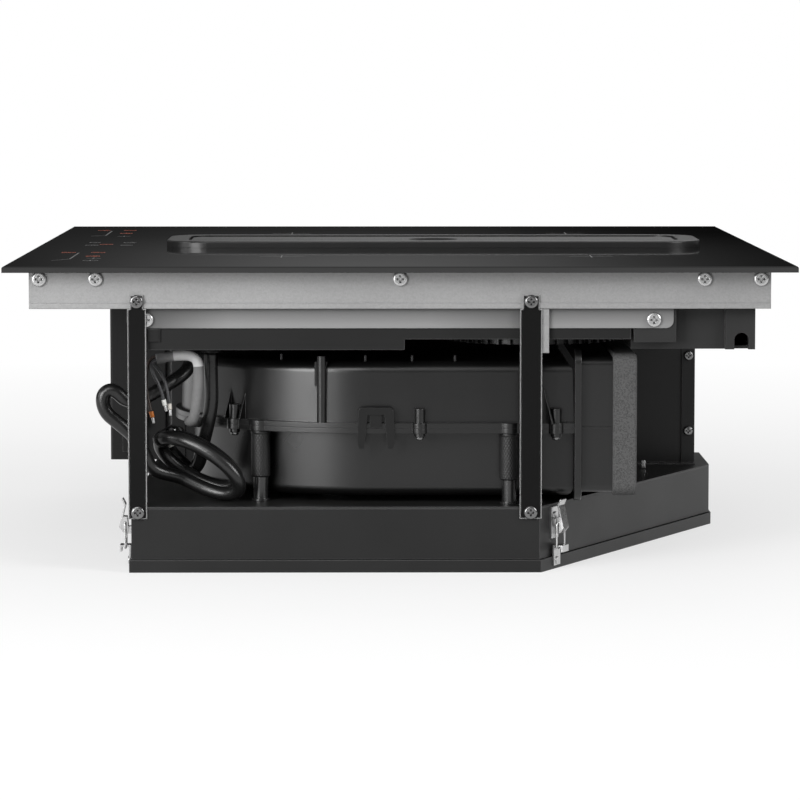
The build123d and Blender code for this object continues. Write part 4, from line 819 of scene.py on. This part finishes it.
# each finish and the solids that have it
looks = {
    "blackGlass": (glassRecipe, ["glass_top"]),
    "ringBlack": (satinRecipe(shade=38, rough=0.26, metal=0.4), ["cover_ring"]),
    "panelBlack": (satinRecipe(shade=40, rough=0.32, metal=0.4), ["cover_panel"]),
    "galvanised": (
        galvanisedRecipe,
        ["frame_near", "frame_far", "frame_front", "frame_rear", "hanger_bracket"],
    ),
    "stripSteel": (stripRecipe, ["side_strips"]),
    "sheetBlack": (
        sheetSteelRecipe(shade=30, spread=4, shine=0.25, rough=0.36),
        ["tray_top", "tray_body", "tray_lid", "air_plenum"],
    ),
    "postBlack": (
        # edges far paler than the body: painted highlight along the folded edges, with some wear
        sheetSteelRecipe(shade=12, spread=3, shine=0.12, rough=0.36, edge=170, width=0.0016),
        ["post_left", "post_right"],
    ),
    "panDark": (
        sheetSteelRecipe(shade=24, spread=4, shine=0.2, rough=0.5),
        ["base_near", "base_far", "coil_plates", "control_box"],
    ),
    "shellBlack": (
        mouldedRecipe(shade=8, rough=0.3, shine=0.55, edge=40),
        ["blower_upper", "blower_lower", "outlet_duct"],
    ),
    "trimBlack": (
        mouldedRecipe(shade=18, rough=0.3),
        ["blower_clips", "impeller", "fan_rotor_near", "fan_rotor_far", "fan_housings", "inlet_grilles"],
    ),
    "boxGrey": (
        mouldedRecipe(shade=36, rough=0.42),
        ["terminal_box", "terminal_cover", "corner_clips", "touch_board"],
    ),
    "pinGloss": (satinRecipe(shade=70, rough=0.16, metal=0.8, alongY=False), ["damper_pins"]),
    "rubberBlack": (
        mouldedRecipe(shade=14, rough=0.5, spark=0.0006, depth=0.0001, shine=0.25),
        ["cable_grommets", "lid_gasket"],
    ),
    "springSteel": (springSteelRecipe, [
        "latch_bases", "latch_keepers", "latch_lever_left", "latch_lever_right", "latch_lever_back",
        "latch_bail_left", "latch_bail_right", "latch_bail_back",
    ]),
    "screwBright": (screwRecipe(shade=200, recessShade=36, rough=0.22), ["frame_screws"]),
    "screwDark": (screwRecipe(shade=124, recessShade=3, rough=0.14), ["housing_screws"]),
    "shaftSteel": (satinRecipe(shade=178, rough=0.26, alongY=False), ["motor_shaft"]),
    "knurlBlack": (
        # the knurl's ridges made lighter by the edge mask: painted highlight, partly wear
        mouldedRecipe(shade=20, rough=0.4, spark=0.0006, depth=0.0001, shine=0.35, edge=60, sharp=6.0),
        ["damper_sleeves"],
    ),
    "stainless": (satinRecipe(shade=168, rough=0.24), ["filter_frame"]),
    "aluminium": (satinRecipe(shade=196, rough=0.32), ["heatsinks", "motor"]),
    "copperLitz": (copperLitzRecipe, ["coil_windings"]),
    "board": (boardRecipe, ["power_boards"]),
    "greaseMesh": (meshRecipe, ["filter_mesh"]),
    "ferrite": (ferriteRecipe, ["ferrite_bars"]),
    "mica": (micaRecipe, ["mica_discs"]),
    "foamGrey": (foamRecipe, ["foam_seal"]),
}
finishes = {}
for finishName, (recipe, nodes) in looks.items():
    finishes[finishName] = newFinish(finishName, recipe)
    for node in nodes:
        for holder in cad[node].material_slots:
            holder.material = finishes[finishName]
print("finishes assigned")

# marks printed on the glass, placed by their middles
glassMarks = {
    "glassTop": 203.0,
    "ink": 0.03,  # how far the print stands on the glass
    "sunk": 0.01,  # and how far it goes into it
    "digits": [(-230.8, -115.6), (-210.2, -115.6), (-212.5, 0.6), (-230.0, 226.5), (-209.4, 226.5)],
    "clocks": [(-210.1, -166.0), (-209.3, 176.0)],
    "pluses": [(-207.7, -193.6), (-207.9, 127.8)],
    "minuses": [(-207.8, -222.0)],
    "padlock": (-222.4, 27.9),
    "timer": (-222.4, -11.4),
    "onOff": (-197.0, 26.0),
    "pause": (-197.0, -11.4),
    "sliders": [
        [(-233.7, -222.0), (-223.2, -203.0), (-223.2, -122.0)],
        [(-233.2, 131.0), (-222.8, 140.0), (-223.2, 216.0)],
    ],
    "zones": [(-80.5, -170.0), (131.7, -170.0), (-80.5, 174.0), (131.7, 174.0)],
    "zoneArm": 15.0,
}


def inkBars(name, bars, finish):
    # flat bars from end to end: corner = middle +- along * half length +- across * half width
    bars = np.array(bars, float)
    start, end, wide = bars[:, :2], bars[:, 2:4], bars[:, 4:5]
    way = end - start
    way /= np.linalg.norm(way, axis=1)[:, None]
    across = np.c_[-way[:, 1], way[:, 0]] * wide / 2
    flat = np.stack([start - across, end - across, end + across, start + across], 1)
    top = glassMarks["glassTop"]
    low = np.concatenate([flat, np.full(flat.shape[:2] + (1,), top - glassMarks["sunk"])], -1)
    high = np.concatenate([flat, np.full(flat.shape[:2] + (1,), top + glassMarks["ink"])], -1)
    points = np.concatenate([low, high], 1) * mm
    sides = np.array([(3, 2, 1, 0), (4, 5, 6, 7), (0, 1, 5, 4), (1, 2, 6, 5), (2, 3, 7, 6), (3, 0, 4, 7)])
    faces = (np.arange(len(bars))[:, None, None] * 8 + sides).reshape(-1, 4)
    piece = meshPiece(name, points, faces, finish, False)
    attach(piece, "hob")
    return piece


def ringBars(x, y, radius, wide, first=0.0, last=360.0, steps=28):
    # short bars from point to point of a circle, between two angles in degrees
    turn = np.radians(np.linspace(first, last, steps + 1))
    ring = np.c_[x + radius * np.cos(turn), y + radius * np.sin(turn)]
    return [(*a, *b, wide) for a, b in zip(ring[:-1], ring[1:])]


def digitBars(x, y, high=9.0, wide=5.0, stroke=0.7):
    # all seven bars of a display digit: three across it, and two at each side
    gap = 0.5
    bars = []
    for level in (-1, 0, 1):
        atX = x + level * high / 2
        bars.append((atX, y - wide / 2 + gap, atX, y + wide / 2 - gap, stroke))
    for half in (-1, 1):
        for side in (-1, 1):
            atX, atY = x + half * high / 4, y + side * wide / 2
            bars.append((atX - high / 4 + gap, atY, atX + high / 4 - gap, atY, stroke))
    return bars


def inkRecipe(shade, glow=0.0):
    # speckled screen print, which shines a little where it is a lit display
    def recipe(tree):
        speck = grain(tree, 0.0006)
        dark = tone(*[v * 0.8 for v in shade])
        sockets = {"Base Color": blendTones(tree, speck, dark, tone(*shade)), "Roughness": 0.45}
        if glow:
            sockets["Emission Color"] = tone(*shade)
            sockets["Emission Strength"] = glow
        return sockets

    return recipe


def crossBars(x, y, arm, wide):
    # two bars that cross at their middles
    return [(x - arm, y, x + arm, y, wide), (x, y - arm, x, y + arm, wide)]


def litMarks():
    # display digits, and clocks that are a ring with two hands
    bars = [bar for spot in glassMarks["digits"] for bar in digitBars(*spot)]
    for x, y in glassMarks["clocks"]:
        bars += ringBars(x, y, 4.6, 0.8)
        bars += [(x, y, x + 3, y, 0.8), (x, y, x, y + 2.4, 0.8)]
    return bars


def touchSigns():
    # plain signs for more, less, child lock, timer, on and off, pause, and two sliders
    bars = []
    for x, y in glassMarks["pluses"]:
        bars += crossBars(x, y, 5, 1.0)
    for x, y in glassMarks["minuses"]:
        bars.append((x, y - 5, x, y + 5, 1.0))
        bars += ringBars(x, y, 5.0, 0.7)
    x, y = glassMarks["padlock"]
    bars += [(x - 4, y - 3.4, x - 4, y + 3.4, 1), (x + 0.6, y - 3.4, x + 0.6, y + 3.4, 1)]
    bars += [(x - 4, y - 3, x + 1, y - 3, 1), (x - 4, y + 3, x + 1, y + 3, 1)]
    bars += ringBars(x + 1, y, 2.4, 0.8, -90, 90, 14)
    x, y = glassMarks["timer"]
    bars += ringBars(x, y, 4.6, 0.8)
    bars += [(x, y, x + 3.2, y, 0.8), (x, y, x, y - 2.6, 0.8)]
    x, y = glassMarks["onOff"]
    bars += ringBars(x, y, 4.4, 0.9, 35, 325)
    bars.append((x, y, x + 5, y, 0.9))
    x, y = glassMarks["pause"]
    bars += [(x - 4.5, y - 2, x + 4.5, y - 2, 1.4), (x - 4.5, y + 2, x + 4.5, y + 2, 1.4)]
    for line in glassMarks["sliders"]:
        bars += [(*start, *end, 1.1) for start, end in zip(line[:-1], line[1:])]
    return bars


amber = newFinish("inkAmber", inkRecipe((176, 78, 46), glow=0.06))
greyInk = newFinish("inkGrey", inkRecipe((92, 92, 92)))
paleInk = newFinish("inkPale", inkRecipe((96, 96, 96)))
inkBars("displayDigits", litMarks(), amber)
inkBars("touchSigns", touchSigns(), greyInk)
crosses = [bar for spot in glassMarks["zones"] for bar in crossBars(*spot, glassMarks["zoneArm"], 0.7)]
inkBars("zoneCrosses", crosses, paleInk)
print("glass marks ready")

# folded hem along the lower edge of the two long frame rails
frameHem = {
    "halfLong": 243.3,
    "face": 284.0,  # the rail's outer face, along Y
    "low": 174.4,
    "high": 178.3,
    "proud": 0.55,
    "round": 0.5,
    "sunk": 0.1,
}


def makeHem(name, side):
    # a slim bar whose outer upper and lower edges are quarter rounds, drawn along X
    low, high, proud, r, sunk = (frameHem[k] for k in ("low", "high", "proud", "round", "sunk"))
    turn = np.radians(np.linspace(0, 90, 5))
    lower = np.c_[proud - r + r * np.sin(turn), low + r - r * np.cos(turn)]
    upper = np.c_[proud - r + r * np.cos(turn), high - r + r * np.sin(turn)]
    section = np.concatenate([[(-sunk, low)], lower, upper, [(-sunk, high)]])
    ends = np.array([-1, 1]) * frameHem["halfLong"]
    y = side * (frameHem["face"] + section[:, 0])
    points = np.array([[(x, *yz) for yz in zip(y, section[:, 1])] for x in ends]) * mm
    count = len(section)
    faces = [(i, (i + 1) % count, (i + 1) % count + count, i + count) for i in range(count)]
    faces += [tuple(range(count)), tuple(range(count, 2 * count))]
    piece = meshPiece(name, points, faces, finishes["galvanised"], smooth=False)
    faceOutwards(piece.data)
    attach(piece, "hob")


makeHem("hemNear", -1)
makeHem("hemFar", 1)
print("frame hems ready")

# foam band round the duct's end
foamBand = {
    "wide": (-268.0, -46.0),  # the duct it is wrapped round, along Y
    "tall": (51.0, 141.0),
    "corner": 5.0,
    "from": 141.0,
    "to": 157.0,
    "thick": 2.4,
    "edge": 1.8,  # radius of its outer edges
    "gap": 0.03,  # between its inner skin and the duct
    "swell": 0.22,  # how far the cut foam waves in and out
}


def roundedLoop(wide, tall, corner, arcSteps=10, sideSteps=(44, 18)):
    # a rounded rectangle as points and outward directions, counted once round
    middle = np.array([(wide[0] + wide[1]) / 2, (tall[0] + tall[1]) / 2])
    half = np.array([(wide[1] - wide[0]) / 2 - corner, (tall[1] - tall[0]) / 2 - corner])
    corners = [middle + half * signs for signs in ((1, 1), (-1, 1), (-1, -1), (1, -1))]
    points, outward = [], []
    for quarter, centre in enumerate(corners):
        turn = np.radians(90 * quarter + np.linspace(0, 90, arcSteps))
        arc = np.c_[np.cos(turn), np.sin(turn)]
        points.append(centre + arc * corner)
        outward.append(arc)
        nextCentre = corners[(quarter + 1) % 4]
        count = sideSteps[quarter % 2]
        step = np.linspace(0, 1, count + 2)[1:-1, None]
        points.append((centre * (1 - step) + nextCentre * step) + arc[-1] * corner)
        outward.append(np.repeat(arc[-1:], count, 0))
    return np.concatenate(points), np.concatenate(outward)


def makeFoamBand():
    # band(u, v) = duct outline(u) + outward(u) * height(v), x(v); its outer skin waves by slow sines
    loop, outward = roundedLoop(foamBand["wide"], foamBand["tall"], foamBand["corner"])
    thick, edge, gap = foamBand["thick"], foamBand["edge"], foamBand["gap"]
    first, last = foamBand["from"], foamBand["to"]
    turn = np.radians(np.linspace(0, 90, 7))
    left = np.c_[first + edge - edge * np.cos(turn), thick - edge + edge * np.sin(turn)]
    across = np.linspace(first + edge, last - edge, 12)[1:-1]
    flat = np.c_[across, np.full(len(across), thick)]
    right = np.c_[last - edge + edge * np.sin(turn), thick - edge + edge * np.cos(turn)]
    section = np.concatenate([[(first, gap)], left, flat, right, [(last, gap)]])
    along, height = section.T
    u = np.arange(len(loop))[:, None] / len(loop) * 2 * np.pi
    v = along / 4.0
    wave = (np.sin(31 * u + v) + np.sin(53 * u - 1.7 * v + 1) + np.sin(87 * u + 2.3 * v + 2)) / 3
    lift = height - foamBand["swell"] * (0.5 + 0.5 * wave) * (height > 1)
    y, z = (loop[:, k, None] + outward[:, k, None] * lift for k in (0, 1))
    points = np.stack([np.broadcast_to(along, y.shape), y, z], -1)
    faces = ringFaces(len(loop), len(section), endless=True)
    return meshPiece("foamBand", points * mm, faces, finishes["foamGrey"])


foam = makeFoamBand()
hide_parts("foam_seal")
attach(foam, "hob")
print("foam band ready")

# knurled rubber sleeves of the blower's feet
footSleeve = {
    "spots": [(-93.0, -246.0), (72.5, -267.0), (-121.0, -57.0), (80.0, -37.5)],
    "bottom": 59.6,
    "top": 91.0,
    "radius": 6.1,
    "knurl": 0.45,
    "starts": 22,  # diamonds round the sleeve
    "pitch": 3.4,
    "collarRadius": 6.6,
    "collarHigh": 2.4,
}


def makeSleeve(index, spot):
    # sleeve(t, z): radius plus knurl where two families of slanted ridges run, plain collar at the top
    f = footSleeve
    turn = np.linspace(0, 2 * np.pi, 132, endpoint=False)
    body = np.linspace(f["bottom"] + 0.8, f["top"] - f["collarHigh"] - 0.2, 64)
    collarFoot, bevel = f["top"] - f["collarHigh"], 0.4
    collar = np.array([collarFoot, collarFoot + bevel, f["top"] - bevel, f["top"]])
    z = np.concatenate([[f["bottom"]], body, collar])
    lean = 2 * np.pi * z[:, None] / (f["pitch"] * 2)
    first = np.abs(np.sin(f["starts"] / 2 * turn[None, :] + lean))
    second = np.abs(np.sin(f["starts"] / 2 * turn[None, :] - lean))
    ridge = 1 - np.minimum(first, second) ** 0.7
    radius = f["radius"] - 0.1 + f["knurl"] * ridge
    radius[0] = f["radius"] - 0.6
    collarShape = np.array([0.35, 0.0, 0.0, 0.35])
    radius[-4:] = f["collarRadius"] - collarShape[:, None]
    x = spot[0] + radius * np.cos(turn)
    y = spot[1] + radius * np.sin(turn)
    rings = np.stack([x, y, np.broadcast_to(z[:, None], x.shape)], -1) * mm
    piece = cappedPiece(f"footSleeve{index}", rings, finishes["knurlBlack"])
    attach(piece, "hob")
    return piece


sleeves = [makeSleeve(i, spot) for i, spot in enumerate(footSleeve["spots"])]
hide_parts("damper_sleeves")
print("foot sleeves ready")

# cable tie round the loop's two turns
cableTie = {
    "atAngle": -545.0,  # where on the loop, in degrees
    "strapWide": 2.6,
    "strapThick": 0.9,
    "grip": 4.75,  # from each turn's middle to the strap
    "head": (5.0, 3.6, 3.2),
    "headOut": 1.2,  # from the strap's inside to the middle of the head
}


def makeTie():
    # the strap is a stadium round both turns, in the plane across them
    angle = cableTie["atAngle"]
    front = loopPoint(angle)
    heading = unitWay(angle)
    apart = loopPoint(angle + 360) - front
    apart -= heading * (apart @ heading)
    long = apart / np.linalg.norm(apart)
    side = np.cross(heading, long)
    half = np.linalg.norm(apart) / 2
    middle = front + apart / 2
    turn = np.linspace(-90, 90, 15)

    def ring(grip):
        # a half circle of that radius round each turn's middle, one after the other
        ends = []
        for centre, arc in ((middle + long * half, turn), (middle - long * half, turn + 180)):
            arc = np.radians(arc)
            ends.append(centre + np.outer(np.cos(arc), long) * grip + np.outer(np.sin(arc), side) * grip)
        return np.concatenate(ends)

    inner, outer = ring(cableTie["grip"]), ring(cableTie["grip"] + cableTie["strapThick"])
    wide = heading * cableTie["strapWide"] / 2
    section = np.stack([inner - wide, inner + wide, outer + wide, outer - wide], 1)
    faces = ringFaces(len(section), 4, endless=True)
    strap = meshPiece("tieStrap", section * mm, faces, finishes["trimBlack"])
    headSpot = middle - side * (cableTie["grip"] + cableTie["headOut"])
    return strap, headSpot, [long, heading, side]


def blockPiece(name, centre, size, finish, rounding=0.5, axes=np.eye(3)):
    # a block with rounded edges: each point of a cube's grid is its nearest point of the block
    # less the rounding, plus the rounding in the direction that it lies from there
    cuts = 9
    steps = np.linspace(-1, 1, cuts)
    grids, faces, count = [], [], 0
    for axis in range(3):
        for sign in (-1, 1):
            s, t = np.meshgrid(steps, steps, indexing="ij")
            cube = np.empty(s.shape + (3,))
            cube[..., axis] = sign
            cube[..., (axis + 1) % 3], cube[..., (axis + 2) % 3] = (s, t) if sign > 0 else (t, s)
            grids.append(cube.reshape(-1, 3))
            row, col = np.meshgrid(np.arange(cuts - 1), np.arange(cuts - 1), indexing="ij")
            a = count + row * cuts + col
            faces.append(np.stack([a, a + cuts, a + cuts + 1, a + 1], -1).reshape(-1, 4))
            count += cuts * cuts
    cube = np.concatenate(grids)
    half = np.array(size) / 2
    flat = np.clip(cube * half, rounding - half, half - rounding)
    bulge = cube * half - flat
    long = np.linalg.norm(bulge, axis=1)[:, None]
    shaped = flat + np.where(long > 1e-9, bulge / np.maximum(long, 1e-9) * rounding, 0)
    placed = centre + shaped @ np.array(axes)
    piece = meshPiece(name, placed * mm, np.concatenate(faces), finish)
    faceOutwards(piece.data, join=1e-6)
    return piece


strap, headSpot, tieAxes = makeTie()
clearHead = newFinish("tieHeadClear", inkRecipe((206, 206, 200)))
tieHead = blockPiece("tieHead", headSpot, cableTie["head"], clearHead, axes=tieAxes)
for piece in (strap, tieHead):
    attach(piece, "hob")
print("cable tie ready")

# plug on the control box, clip by the plenum and tab on the near base; X and Z are of the middle
smallParts = {
    "plug": (-188.0, 77.0, 8.4, 12.0),  # X, Z, width, height
    "plugOut": 3.4,
    "ribs": (-3.6, 0.0, 3.6),  # above the plug's middle
    "ribDeep": 1.2,
    "ribHigh": 1.3,
    "ribPast": 0.8,  # how much wider than the plug
    "clip": (177.0, 46.8),
    "clipSize": (3.0, 1.0, 6.0),
    "tab": (-162.5, 156.8, 9.6, 8.9),
    "tabDeep": 1.4,
}


def nearFace(node):
    # Y of the side of the solid that faces the camera, in millimetres
    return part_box(node)[0].y / mm


face = nearFace("control_box")
x, z, wide, high = smallParts["plug"]
depth = smallParts["plugOut"]
middle = (x, face - depth / 2 + 0.2, z)
plug = [blockPiece("controlPlug", middle, (wide, depth, high), finishes["trimBlack"])]
ribSize = (wide + smallParts["ribPast"], smallParts["ribDeep"], smallParts["ribHigh"])
for i, above in enumerate(smallParts["ribs"]):
    middle = (x, face - depth - 0.3, z + above)
    plug.append(blockPiece(f"plugRib{i}", middle, ribSize, finishes["boxGrey"], rounding=0.3))
for piece in plug:
    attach(piece, "hob")
x, z = smallParts["clip"]
middle = (x, nearFace("air_plenum") - 0.5, z)
clip = blockPiece("plenumClip", middle, smallParts["clipSize"], finishes["springSteel"], rounding=0.3)
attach(clip, "hob")
x, z, wide, high = smallParts["tab"]
middle = (x, nearFace("base_near") - 0.5, z)
tabSize = (wide, smallParts["tabDeep"], high)
tab = blockPiece("baseTab", middle, tabSize, finishes["trimBlack"], rounding=0.4)
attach(tab, "hob")
print("small parts ready")

low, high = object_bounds()
